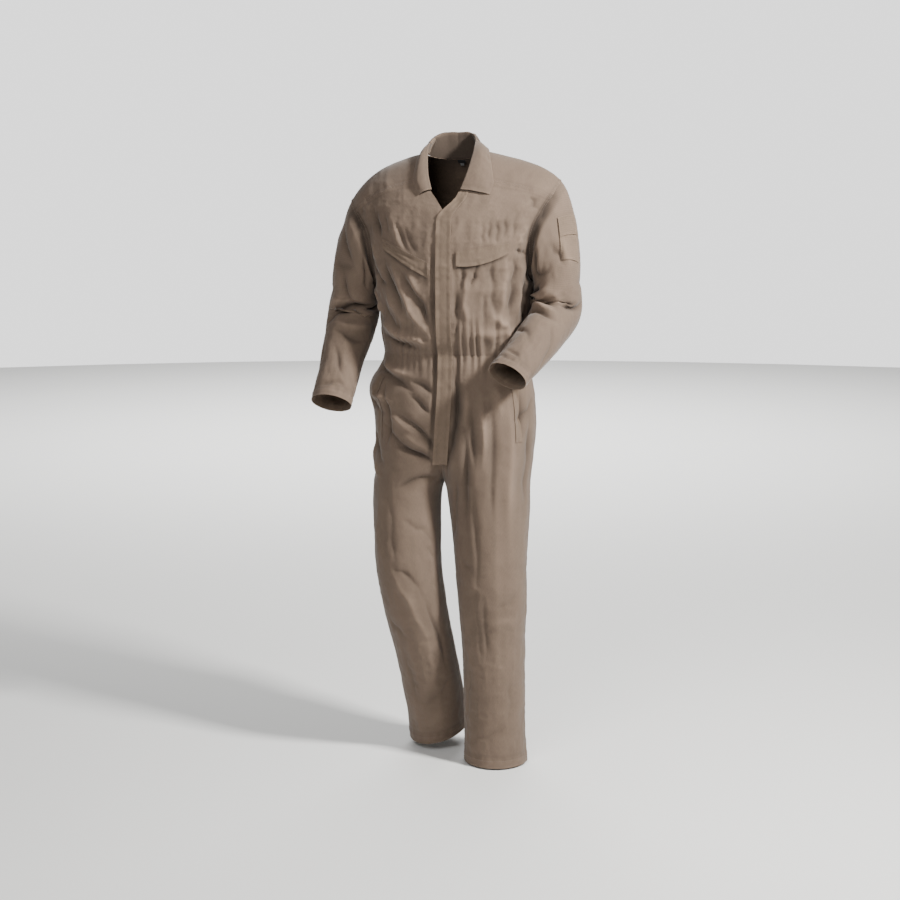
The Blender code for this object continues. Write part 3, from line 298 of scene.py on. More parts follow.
# The sleeves' sections from the upper arm to the cuff. x, y, z is a section's middle, across its
# half width, deep its half depth, and slant lets its outer side stand higher on the arm.
SLEEVES = {
    "left": table(
        "station x y z across deep slant",
        (1, 0.2520, 0.0000, -0.318, 0.0600, 0.0670, 0.040),
        (2, 0.2530, 0.0030, -0.352, 0.0620, 0.0660, 0.020),
        (3, 0.2520, -0.0040, -0.388, 0.0605, 0.0620, 0.000),
        (4, 0.2375, -0.0400, -0.422, 0.0560, 0.0580, 0.000),
        (5, 0.2120, -0.0960, -0.462, 0.0540, 0.0500, 0.000),
        (6, 0.1870, -0.1450, -0.498, 0.0520, 0.0430, 0.000),
        (7, 0.1620, -0.1880, -0.531, 0.0510, 0.0370, 0.000),
    ),
    "right": table(
        "station x y z across deep slant",
        (1, -0.2520, 0.0000, -0.322, 0.0580, 0.0670, 0.040),
        (2, -0.2555, 0.0060, -0.356, 0.0605, 0.0650, 0.020),
        (3, -0.2610, 0.0080, -0.392, 0.0640, 0.0620, 0.000),
        (4, -0.2680, -0.0080, -0.440, 0.0610, 0.0590, 0.000),
        (5, -0.2775, -0.0420, -0.500, 0.0540, 0.0540, 0.000),
        (6, -0.2825, -0.0800, -0.557, 0.0510, 0.0480, 0.000),
        (7, -0.2880, -0.1180, -0.612, 0.0500, 0.0430, 0.000),
    ),
}
CUFF_STATION = 7.0
CAP_SWING = {"left": {"x": 0.58, "z": -0.81}, "right": {"x": 0.34, "z": -0.94}}
CAP_FULLNESS = 0.62

# The collar from the centre back to the front corner. roll is where it turns over; its free edge
# lies on the body at a station and a number of degrees, lifted off it.
COLLAR = table(
    "part roll_x roll_y roll_z edge_station edge_degrees edge_lift bulge foot_station foot_degrees",
    (0.00, 0.000, 0.064, 0.051, -0.215, 0.0, 0.005, 0.004, -0.120, 0.0),
    (0.15, 0.031, 0.056, 0.050, -0.205, 8.6, 0.005, 0.004, -0.119, 6.0),
    (0.30, 0.0475, 0.035, 0.0415, -0.150, 13.9, 0.005, 0.003, -0.090, 12.6),
    (0.45, 0.0550, 0.003, 0.026, -0.040, 15.9, 0.005, 0.003, -0.030, 15.0),
    (0.60, 0.0565, -0.033, 0.008, 0.110, 19.0, 0.005, 0.005, 0.080, 15.0),
    (0.75, 0.053, -0.070, -0.023, 0.215, 22.0, 0.005, 0.006, 0.170, 14.3),
    (0.90, 0.045, -0.102, -0.062, 0.285, 24.0, 0.005, 0.006, 0.245, 12.3),
    (1.00, 0.0345, -0.1165, -0.094, 0.325, 23.0, 0.004, 0.005, 0.300, 8.8),
)

# The chest flaps' and pocket welts' corners: distances from the middle plane, and levels.
CHEST_FLAP = {
    "right": {"inner": 0.037, "outer": 0.155, "top_inner": -0.268, "top_outer": -0.211,
              "foot_inner": -0.303, "foot_outer": -0.233, "foot_bow": -0.003},
    "left": {"inner": 0.031, "outer": 0.151, "top_inner": -0.241, "top_outer": -0.222,
             "foot_inner": -0.275, "foot_outer": -0.243, "foot_bow": -0.011},
}
POCKET_WELT = {"width": 0.014, "high": -0.548, "low": -0.704}
# The sleeve pocket and its flap: a corner's share round the sleeve and distance down from the
# armhole, in the order near top, far top, near foot, far foot.
SLEEVE_POCKET = {
    "sleeve_pocket": ((0.362, 0.040), (0.482, 0.066), (0.322, 0.094), (0.446, 0.122)),
    "sleeve_pocket_flap": ((0.372, 0.030), (0.490, 0.052), (0.350, 0.058), (0.478, 0.082)),
}
NECK_LABEL = {"left": -0.004, "right": 0.015, "top": 0.002, "foot": 0.014}
SIZE_TAB = {"left": 0.001, "right": 0.010, "top": 0.0145, "foot": 0.0235}

# Creases of the body's front: u0, v0, u1, v1, bow, width and depth in millimetres, and the lean of
# those that have one. u is the distance round from the centre front (+ to the wearer's left) and v
# the level; a crease runs from one end to the other with a sideways bow. Troughs have a negative
# depth, and lean makes one flank steeper than the other.
FRONT_CREASES = creases(
    (-136, -140, -138, -207, 1, 7.5, -3),
    (-116, -146, -116, -208, 0, 7, -2.8, 0.1),
    (-103, -150, -83, -236, 4, 8.5, 3.4),
    (-96, -170, -72, -245, 2, 7, -4.2, -0.2),
    (-78, -185, -56, -245, 0, 6.5, -3.2),
    (-149, -110, -138, -213, -2, 11, -4, 0.2),
    (-140, -262, -111, -395, 10, 12, -8.5, 0.2),
    (-98, -285, -40, -395, 8, 10, -8),
    (-118, -262, -46, -432, 20, 11, 8.5, -0.3),
    (-87, -285, -38, -375, 4, 8, 5.5, -0.2),
    (-215, -418, -36, -470, -7, 15, 12, 0.3),
    (-215, -448, -30, -500, -7, 11, -11, -0.2),
    (-170, -330, -90, -415, 12, 11, 6, 0.2),
    (-190, -370, -120, -430, 8, 10, -6),
    (-64, -330, -30, -430, 4, 8, -4.5),
    (-60, -410, -26, -455, 3, 8, 4),
    (131, -146, 138, -212, 0, 7, -3),
    (111, -150, 118, -215, -1, 7, -3, 0.1),
    (98, -165, 104, -224, 0, 6.5, -3.2),
    (71, -172, 75, -224, 0, 6, -3),
    (84, -168, 89, -225, 1, 6, -3),
    (150, -236, 190, -246, 2, 6, -6, 0.2),
    (71, -268, 64, -325, -1, 6, -5.5),
    (44, -272, 39, -330, 0, 6, -4.2),
    (100, -255, 140, -405, 2, 10, -4.5),
    (130, -250, 150, -405, -8, 12, 5.5, 0.2),
    (99, -340, 103, -430, -2, 6.5, -3.8),
    (154, -258, 182, -405, -12, 12, -6.5, 0.2),
    (186, -270, 214, -420, -6, 12, 4.5),
    (215, -290, 245, -430, -4, 10, -6),
    (52, -290, 56, -420, 3, 8, 4.5),
    (120, -385, 190, -430, 6, 11, 6),
    (33, -330, 36, -450, 1, 6, -4),
    (60, -440, 240, -448, -6, 15, 5.5, 0.2),
    (150, -90, 190, -150, 6, 12, -4.5),
    (-150, -85, -188, -160, 6, 12, -4.5),
    (175, -180, 150, -235, 4, 9, 4),
    (-186, -190, -165, -260, 4, 9, 4.5),
    (-205, -250, -160, -330, 8, 11, -6.5),
    (-250, -330, -200, -400, 8, 11, 6),
)

# Creases of the body's back, written the same way, u from the centre back.
BACK_CREASES = creases(
    (175, -175, 80, -300, 12, 14, -7, 0.1),
    (190, -215, 110, -365, 10, 13, 6.5),
    (200, -255, 140, -425, 10, 12, -8, 0.2),
    (150, -290, 70, -430, 8, 13, 6),
    (-178, -180, -95, -320, -12, 14, -7.5, 0.1),
    (-192, -225, -120, -350, -10, 12, 6),
    (-202, -265, -135, -435, -12, 13, -8),
    (-140, -305, -80, -440, -6, 12, 6.5, 0.2),
    (45, -230, 20, -420, 8, 12, -4.5),
    (-35, -250, -30, -430, -6, 13, 4.5),
    (0, -270, -6, -440, 4, 11, -4.5),
    (85, -350, 60, -452, 3, 10, -6),
    (-60, -340, -70, -452, 3, 10, -6),
    (-230, -444, 235, -440, 12, 18, 9, 0.3),
    (-220, -478, 225, -476, 8, 12, -7),
    (120, -395, 200, -420, 6, 11, 5.5),
    (-110, -400, -190, -425, -6, 11, 5),
    (225, -280, 200, -420, 6, 11, 5.5),
    (-228, -290, -205, -430, -6, 11, 5.5),
    (130, -95, 60, -170, 8, 14, -3.5),
    (-135, -90, -55, -165, -8, 14, -3.5),
)

# Creases of the trouser halves, written the same way. u is the distance round from the side seam,
# + over the front and - over the back.
LEG_CREASES = {
    "right": creases(
        (60, -503, 186, -546, 5, 10, 9, 0.2),
        (50, -520, 204, -580, -5, 10, -11, -0.1),
        (190, -552, 250, -582, -2, 7.5, -6.5),
        (150, -635, 266, -752, -15, 8.5, -6, 0.2),
        (105, -662, 252, -756, 10, 8, -5.8),
        (140, -714, 250, -763, -10, 8, -6.5),
        (124, -560, 116, -720, -10, 7, -6, 0.3),
        (150, -820, 262, -795, -5, 9, -7),
        (196, -582, 240, -636, -1, 8, -5.5),
        (120, -640, 200, -690, -6, 10, 3.5),
        (165, -690, 240, -735, -6, 8, 5),
        (60, -570, 150, -605, 8, 11, 6),
        (40, -600, 115, -640, 6, 11, -6),
        (204, -925, 240, -966, 0, 7, -4.5),
        (210, -970, 242, -1014, -3, 7, -4.5),
        (120, -1028, 182, -1106, -19, 10, -8.5, 0.2),
        (110, -1035, 160, -1140, 1, 12, 8),
        (184, -1095, 196, -1310, -9, 11, -9, 0.1),
        (140, -1100, 150, -1310, -16, 13, 8),
        (125, -840, 122, -1020, 1, 12, -4.5),
        (150, -895, 236, -932, 10, 10, -5),
        (80, -850, 70, -1060, 6, 15, 4.5),
        (90, -1180, 100, -1400, 6, 12, -5),
        (60, -1150, 130, -1215, 6, 12, -5.5),
        (200, -1330, 110, -1390, -8, 12, -4.5),
        (190, -1390, 100, -1450, -8, 12, 4),
        (40, -680, 100, -760, 10, 13, -6),
        (20, -720, 90, -800, 10, 13, 5),
        (-30, -620, -150, -720, -12, 15, -7),
        (-40, -690, -200, -800, -14, 15, 7),
        (-50, -730, -230, -830, -14, 14, -11, 0.1),
        (-60, -800, -240, -862, -12, 13, -8),
        (-160, -560, -210, -700, 8, 13, -5),
        (-100, -870, -120, -1040, 8, 14, 5),
        (-20, -1060, -180, -1100, 12, 14, -10, 0.1),
        (-30, -1100, -200, -1140, 10, 12, 7),
        (-20, -1150, -190, -1170, 10, 13, -11),
        (-50, -1200, -210, -1190, -8, 12, 6),
        (-40, -1240, -200, -1235, -8, 12, -7),
        (-120, -1260, -110, -1430, 6, 13, -5),
        (-60, -1420, -170, -1460, 6, 12, -5),
        (0, -900, -20, -1080, 6, 13, -5),
    ),
    "left": creases(
        (229, -515, 276, -790, 6, 9.5, -11, 0.2),
        (212, -560, 222, -670, -1, 8, 6),
        (205, -595, 196, -760, -4, 8.5, -6),
        (182, -590, 174, -760, -4, 9, 6.5),
        (161, -605, 130, -905, -6, 10, -7),
        (122, -580, 73, -1010, -6, 14, 6.5),
        (224, -660, 180, -1010, -7, 11, -6.5),
        (138, -800, 103, -1370, 10, 14, 5.5),
        (148, -1095, 133, -1262, 4, 8, -6),
        (188, -835, 160, -1110, 5, 10, -7),
        (164, -1120, 143, -1255, -1, 8, -5),
        (100, -560, 85, -700, 6, 11, -5),
        (150, -560, 145, -640, 2, 9, 4),
        (245, -800, 255, -960, 6, 11, -6),
        (170, -1045, 225, -1000, -6, 10, -5),
        (150, -1085, 215, -1055, -4, 9, 4),
        (50, -1080, 130, -1130, 8, 12, -4.5),
        (45, -1140, 125, -1160, 8, 11, 4),
        (180, -1280, 205, -1440, 6, 11, -5),
        (80, -1430, 170, -1470, 6, 11, -4.5),
        (70, -1300, 75, -1440, 4, 13, -3.5),
        (55, -650, 40, -880, 6, 15, -5),
        (30, -600, 110, -655, 8, 11, -4.5),
        (245, -600, 260, -720, 4, 8, 5),
        (-30, -630, -160, -730, -12, 15, -7),
        (-40, -700, -210, -800, -14, 15, 7),
        (-50, -745, -240, -835, -14, 14, -11, 0.1),
        (-70, -810, -250, -868, -12, 13, -8),
        (-170, -570, -205, -690, 8, 13, -5),
        (-110, -880, -90, -1050, 8, 14, 5),
        (-30, -1075, -190, -1105, 12, 14, -9, 0.1),
        (-40, -1110, -200, -1140, 10, 12, 6),
        (-30, -1150, -200, -1165, 10, 13, -9),
        (-60, -1195, -200, -1200, -8, 12, 5),
        (-120, -1250, -130, -1420, 6, 13, -5),
        (-60, -1440, -160, -1470, 6, 12, -4.5),
        (0, -920, -20, -1100, 6, 13, -4.5),
    ),
}

# Creases of the sleeves, written the same way. u is the distance round from the underarm seam,
# over the front of the arm first, and v the distance down from the armhole.
SLEEVE_CREASES = {
    "left": creases(
        (79, 14, 50, 52, -2, 6, -6.5),
        (44, 30, 90, 92, -9, 6.5, -6),
        (-10, 150, 108, 250, -20, 11, -12, 0.2),
        (112, 240, 186, 185, 2, 9, -8),
        (55, 100, 110, 180, 1, 15, 7),
        (20, 262, 135, 282, -6, 11, -6),
        (30, 235, 120, 262, -6, 10, 6.5),
        (50, 436, 105, 446, 2, 5, -3.5),
        (55, 414, 115, 430, 2, 5.5, -3.5),
        (30, 330, 110, 375, 6, 11, -4),
        (130, 300, 190, 400, 6, 11, -3.5),
        (150, 150, 240, 180, 6, 12, -5),
        (240, 140, 330, 200, 10, 13, -6),
        (230, 190, 320, 250, 10, 13, 6),
        (260, 60, 320, 120, 6, 13, 5),
        (300, 20, 330, 90, 4, 9, -6),
        (240, 300, 330, 340, 6, 12, -4.5),
        (120, 45, 135, 130, 4, 13, 4),
        (200, 30, 215, 120, 4, 14, 3),
        (350, 110, 420, 150, 6, 11, -7),
        (12, 70, 75, 118, -6, 9, -8),
        (20, 92, 82, 150, -6, 10, 8),
        (8, 120, 90, 182, -10, 9, -8.5),
        (10, 178, 130, 232, -12, 11, 8.5),
        (150, 190, 90, 215, 4, 8, -6),
        (105, 52, 125, 110, 2, 8, -4),
    ),
    "right": creases(
        (155, 28, 96, 60, 6, 9, -5),
        (150, 85, 92, 60, 10, 10, -5),
        (140, 210, 36, 120, -4, 12, -11, 0.1),
        (156, 176, 46, 90, 7, 12, 7.5),
        (110, 262, 20, 266, 10, 11, -6),
        (120, 236, 26, 226, 8, 12, 7),
        (125, 412, 40, 405, -6, 9, -3.5),
        (79, 14, 50, 70, -2, 7, -6.5),
        (100, 300, 60, 380, 6, 11, -4.5),
        (140, 290, 170, 390, 4, 12, -3.5),
        (160, 140, 240, 190, 8, 12, -5),
        (240, 130, 330, 180, 10, 13, -6.5),
        (230, 190, 320, 240, 10, 13, 6),
        (300, 20, 330, 100, 4, 9, -6),
        (190, 40, 205, 130, 4, 14, 3.5),
        (230, 300, 320, 330, 6, 12, -4.5),
        (340, 120, 420, 160, 6, 11, -7),
        (260, 60, 320, 120, 6, 13, 5),
        (130, 150, 60, 110, 6, 9, -7),
        (150, 232, 50, 182, -6, 8, -8),
        (120, 80, 70, 150, 6, 9, -5),
        (100, 205, 30, 170, 4, 9, 6),
    ),
}


def track(rows, name, at):
    """Smooth reading of one column of a table at any place along its key column."""
    keys = rows["key"]
    values = rows[name]
    at = np.clip(np.asarray(at, float), keys[0], keys[-1])
    steps = np.diff(keys)
    rates = np.diff(values) / steps
    slopes = np.empty_like(values)
    slopes[0] = rates[0]
    slopes[-1] = rates[-1]
    slopes[1:-1] = (rates[:-1] * steps[1:] + rates[1:] * steps[:-1]) / (steps[:-1] + steps[1:])
    turning = rates[:-1] * rates[1:] <= 0
    slopes[1:-1][turning] = 0
    found = np.clip(np.searchsorted(keys, at, side="right") - 1, 0, len(steps) - 1)
    width = steps[found]
    part = (at - keys[found]) / width
    start = values[found]
    end = values[found + 1]
    leaving = slopes[found] * width
    arriving = slopes[found + 1] * width
    return (
        start * (1 + 2 * part) * (1 - part) ** 2
        + leaving * part * (1 - part) ** 2
        + end * part**2 * (3 - 2 * part)
        + arriving * part**2 * (part - 1)
    )


def unit(vectors):
    """Vectors brought to length one."""
    return vectors / np.maximum(np.linalg.norm(vectors, axis=-1, keepdims=True), 1e-12)


def ease(value, start, end):
    """0 before start, 1 after end, and a soft step between."""
    part = np.clip((value - start) / (end - start), 0, 1)
    return part * part * (3 - 2 * part)


def between(value, start, full, fading, gone):
    """0 before start, 1 from full to fading, 0 after gone, and soft steps between."""
    return ease(value, start, full) * (1 - ease(value, fading, gone))


def hill(value, middle, width):
    """1 at the middle, falling away softly on both sides."""
    return np.exp(-(((value - middle) / width) ** 2))


def level_off(normal, share):
    """Normals with a share of their upward lean taken out."""
    share = share[..., None]
    return unit(normal * (1 - share) + normal * np.array([1, 1, 0]) * share)


def body_point(station, angle):
    """The smooth body sheet at a station and an angle in radians from the centre line."""
    station, angle = np.broadcast_arrays(station, angle)
    x = track(BODY, "half", station) * np.sin(angle)
    y = track(BODY, "depth", station) * np.cos(angle)
    reach = np.abs(x)
    right = track(SHOULDERS, "right", reach)
    ridge = np.where(x < 0, right, track(SHOULDERS, "left", reach))
    drop = station**2
    lean = SHOULDER_LEAN * x * (1 - ease(drop, 0.30, WAIST_DROP))
    z = -drop - track(BODY, "fall", station) * ridge + lean
    return np.stack([x, y, z], axis=-1)


def surface_normal(function, first, second, outward):
    """Normals of a surface by small differences, turned towards outward(points)."""
    tiny = 1e-4
    along = function(first + tiny, second) - function(first - tiny, second)
    across = function(first, second + tiny) - function(first, second - tiny)
    normal = unit(np.cross(along, across))
    flip = np.sum(normal * outward, axis=-1, keepdims=True) < 0
    return np.where(flip, -normal, normal)


def hip_point(side, level, turn):
    """The smooth trunk below the waist on one side; turn is 0 at the side seam, + to the front."""
    sign = SIGN[side]
    split = track(HIPS, "split", level)
    half = track(HIPS, side, level) / (1 + split)
    x = track(HIPS, "mid", level) + sign * half * (split + np.cos(turn))
    depth = np.where(turn > 0, track(HIPS, "front", level), track(HIPS, "back", level))
    y = track(HIPS, "y", level) - depth * np.sin(turn)
    return np.stack(np.broadcast_arrays(x, y, level * np.ones_like(x)), axis=-1)


def leg_point(side, level, turn):
    """The smooth leg below the crotch, or the trunk above it."""
    level, turn = np.broadcast_arrays(level, turn)
    sign = SIGN[side]
    leg = LEGS[side]
    across = sign * track(leg, "half", level) * np.cos(turn)
    depth = np.where(turn > 0, track(leg, "front", level), track(leg, "back", level))
    deep = -depth * np.sin(turn)
    rise = track(leg, "rise_x", level) * across + track(leg, "rise_y", level) * deep
    below = np.stack([track(leg, "x", level) + across, track(leg, "y", level) + deep, level + rise],
                     axis=-1)
    return np.where((level >= CROTCH)[..., None], hip_point(side, level, turn), below)


def hip_turn(level, part):
    """Turn from the side seam (part 0) to the middle plane or the inside leg (part 1 or -1)."""
    split = np.where(level >= CROTCH, track(HIPS, "split", level), 1.0)
    return part * np.arccos(-np.clip(split, 0, 1))


def armhole_arc():
    """Station of the armhole against the share of its length, from the armpit round the front."""
    station = np.concatenate([np.linspace(ARMPIT, 0, 200), np.linspace(0, -ARMPIT, 200)[1:]])
    point = body_point(station, np.radians(track(ARMHOLE, "degrees", station)))
    length = np.concatenate([[0], np.cumsum(np.linalg.norm(np.diff(point, axis=0), axis=1))])
    return station, length / length[-1]


ARC_STATION, ARC_SHARE = armhole_arc()


def arm_limit(station):
    """The armhole's angle at a station, held at the armpit below it."""
    return np.radians(track(ARMHOLE, "degrees", np.clip(station, -ARMPIT, ARMPIT)))


def armhole_point(side, share):
    """The armhole seam at a share of the way round, 0 at the armpit and 0.5 at the shoulder."""
    station = np.interp(np.mod(share, 1), ARC_SHARE, ARC_STATION)
    return body_point(station, SIGN[side] * np.radians(track(ARMHOLE, "degrees", station)))


def sleeve_ring(side, share, station):
    """A section of the sleeve from the upper arm down, and the arm's direction there."""
    arm = SLEEVES[side]
    before, middle, after = (np.stack([track(arm, axis, station + step) for axis in "xyz"], axis=-1)
                             for step in (-0.02, 0, 0.02))
    along = unit(after - before)
    sign = SIGN[side]
    out = unit(np.array([sign, 0.0, 0.0]) - along * (sign * along[..., :1]))
    fore = sign * np.cross(along, out)
    turn = 2 * math.pi * share
    across = -track(arm, "across", station) * np.cos(turn)
    deep = track(arm, "deep", station) * np.sin(turn)
    slant = track(arm, "slant", station) * np.cos(turn)
    return middle + out * across[..., None] + fore * deep[..., None] + along * slant[..., None], along


def sleeve_point(side, share, station):
    """The smooth sleeve from the armhole (station 0) to the cuff."""
    share, station = np.broadcast_arrays(np.asarray(share, float), np.asarray(station, float))
    ring, along = sleeve_ring(side, share, np.maximum(station, 1.0))
    start = armhole_point(side, share)
    swing = unit(np.array([SIGN[side] * CAP_SWING[side]["x"], 0.0, CAP_SWING[side]["z"]]))
    span = np.linalg.norm(ring - start, axis=-1, keepdims=True)
    part = np.clip(station, 0, 1)[..., None]
    cap = (
        start * (1 + 2 * part) * (1 - part) ** 2
        + CAP_FULLNESS * span * swing * part * (1 - part) ** 2
        + ring * part**2 * (3 - 2 * part)
        + span * along * part**2 * (part - 1)
    )
    return np.where(station[..., None] < 1, cap, ring)


def front_spot(x, z):
    """Station and angle of the body's front at a distance from the middle plane and a level."""
    station = np.sqrt(np.maximum(-z, 1e-4))
    for _ in range(24):
        half = track(BODY, "half", station)
        angle = np.arcsin(np.clip(x / half, -1, 1))
        gap = body_point(station, angle)[..., 2] - z
        station = np.clip(station + gap * 0.9, 0.02, 0.7)
    return station, np.arcsin(np.clip(x / track(BODY, "half", station), -1, 1))


def noise(u, v, seed):
    """Smooth noise from -1 to 1 over a plane, one lump to a unit."""
    cells = np.random.RandomState(seed).uniform(-1, 1, (NOISE_CELLS, NOISE_CELLS))
    column = np.floor(u).astype(int)
    row = np.floor(v).astype(int)
    part_u = ease(u - column, 0, 1)
    part_v = ease(v - row, 0, 1)
    left = column % NOISE_CELLS
    right = (column + 1) % NOISE_CELLS
    low, high = (cells[line, left] * (1 - part_u) + cells[line, right] * part_u
                 for line in (row % NOISE_CELLS, (row + 1) % NOISE_CELLS))
    return low * (1 - part_v) + high * part_v


def rumple(u, v, size, seed):
    """Soft wrinkles whose crests are sharper than their hollows, a lump every size metres."""
    first = 1 - 2 * np.abs(noise(u / size, v / size, seed))
    second = 1 - 2 * np.abs(noise(2.3 * u / size + 7, 2.1 * v / size + 3, seed + 1))
    return 0.65 * first + 0.35 * second


def crease_height(rows, u, v, sharp):
    """Height of a table's creases where the cloth has the coordinates u and v; sharp, from 0 to
    1, is how much of a trough is a keen line rather than a soft hollow."""
    height = np.zeros(np.broadcast(u, v).shape)
    u = np.broadcast_to(u, height.shape)
    v = np.broadcast_to(v, height.shape)
    columns = (rows[name] for name in CREASE_COLUMNS.split())
    for row, (u0, v0, u1, v1, bow, width, depth, lean) in enumerate(zip(*columns)):
        run_u = u1 - u0
        run_v = v1 - v0
        near = np.abs(u - 0.5 * (u0 + u1)) < 0.6 * abs(run_u) + CREASE_MARGIN
        near &= np.abs(v - 0.5 * (v0 + v1)) < 0.6 * abs(run_v) + CREASE_MARGIN
        if not near.any():
            continue
        length = math.hypot(run_u, run_v)
        ahead = u[near] - u0
        down = v[near] - v0
        part = (ahead * run_u + down * run_v) / length**2
        inside = np.clip(part, 0, 1)
        wander = 0.22 * width * np.sin(part * (5.1 + 0.37 * row) + row)
        aside = (ahead * run_v - down * run_u) / length - 4 * bow * inside * (1 - inside) - wander
        fade = between(part, -0.12, 0.40, 0.60, 1.12)
        reach = width * (1 + lean * np.sign(aside)) * (0.65 + 0.35 * fade)
        away = 2.2 * np.abs(aside) / reach
        swell = 1 + 0.25 * np.sin(part * (3.3 + 0.23 * row) + 2.1 * row)
        keen = sharp if depth < 0 else 0
        profile = (1 - 0.5 * keen) * (1 + away) * np.exp(-away) + 0.70 * keen * np.exp(-0.9 * away)
        height[near] += CREASE_DEPTH * depth * fade * swell * profile
    return height


def waist_gathers(x, z, front):
    """Uneven elastic gathers round the waist, each with its own reach above and below it."""
    span = np.abs(x)
    shift = 0.0035 * np.sin(span * 61 + 1.0 + 2.0 * (x > 0)) + 0.002 * np.sin(span * 143 + 2)
    order = (span + shift) / GATHER_PITCH + 12 * (z + 0.47) * np.sin(span * 90) / (2 * math.pi)
    own = np.sin(np.round(order) * 2.4 + 3 * (x > 0))
    reach = between(-z, 0.372 + 0.022 * own, 0.436, 0.492, 0.556 + 0.020 * own)
    in_front = between(span, 0.024, 0.036, 0.118, 0.142) * np.where(x > 0, 1.0, 0.5)
    behind = 1 - ease(span, 0.130, 0.160)
    crest = 2 * np.abs(np.cos(math.pi * order)) ** 1.6 - 1.1
    where = front * in_front + (1 - front) * behind
    return GATHER_HEIGHT * (0.95 + 0.30 * own) * reach * crest * where


def placket_valley(x, z, front):
    """The hollows that the stiff placket leaves in the softer fronts beside it."""
    wide = -0.0034 * hill(x, 0.027 + 0.002 * np.sin(z * 33), 0.0075)
    narrow = -0.0075 * hill(x, -0.0240, 0.0060)
    return between(-z, 0.20, 0.30, 0.700, 0.770) * front * (1 + 0.25 * np.sin(z * 47)) * (wide + narrow)


def seam_height(distance, along, seed, band=0.009, lift=0.0006, pucker=0.0007):
    """A felled seam: a raised band beside the join, small puckers across it and a shallow sink."""
    raised = lift * ease(-distance, -band - 0.002, -band + 0.001)
    small = noise(along / 0.011, distance / 0.03, seed)
    small = small + 0.6 * noise(along / 0.006, distance / 0.02, seed + 1)
    sink = -0.0005 * hill(distance, band + 0.002, 0.0035)
    height = raised + pucker * small * hill(distance, 0, 0.013) + sink
    return np.where(distance < SEAM_REACH, height, 0)


def hem_height(distance, depth, along, seed):
    """A turned hem or cuff of a depth: its doubled cloth, and the puckers of its row of stitches."""
    row = seam_height(np.abs(distance - depth), along, seed, lift=0, pucker=0.0006)
    doubled = 0.0008 * (1 - ease(distance, depth - 0.002, depth + 0.001))
    return np.where(distance < HEM_REACH, row, 0) + doubled


def flap_levels(size, part):
    """Levels of a chest flap's top and free edge at a share of the way outwards."""
    top = size["top_inner"] + (size["top_outer"] - size["top_inner"]) * part
    foot = size["foot_inner"] + (size["foot_outer"] - size["foot_inner"]) * part
    return top, foot + 4 * size["foot_bow"] * part * (1 - part)


def painted_flap_shadow(x, z, station):
    """How much painted shadow darkens the cloth just under the chest flaps' free edges."""
    shade = np.zeros_like(z)
    for side, sign in SIGN.items():
        size = CHEST_FLAP[side]
        part = (sign * x - size["inner"]) / (size["outer"] - size["inner"])
        under = hill(z, flap_levels(size, part)[1] - 0.0035, 0.0050)
        shade = shade + under * between(part, -0.02, 0.06, 0.90, 1.04) * (station > 0)
    return shade


def raised(point, normal, height, u, v, wear_and_shade):
    """A form raised to its cloth: points, outward normals, flat coordinates, and its rubbing with painted
    shade.
    """
    return point + normal * height[..., None], normal, u, v, np.clip(wear_and_shade, *WEAR_AND_SHADE_RANGE)


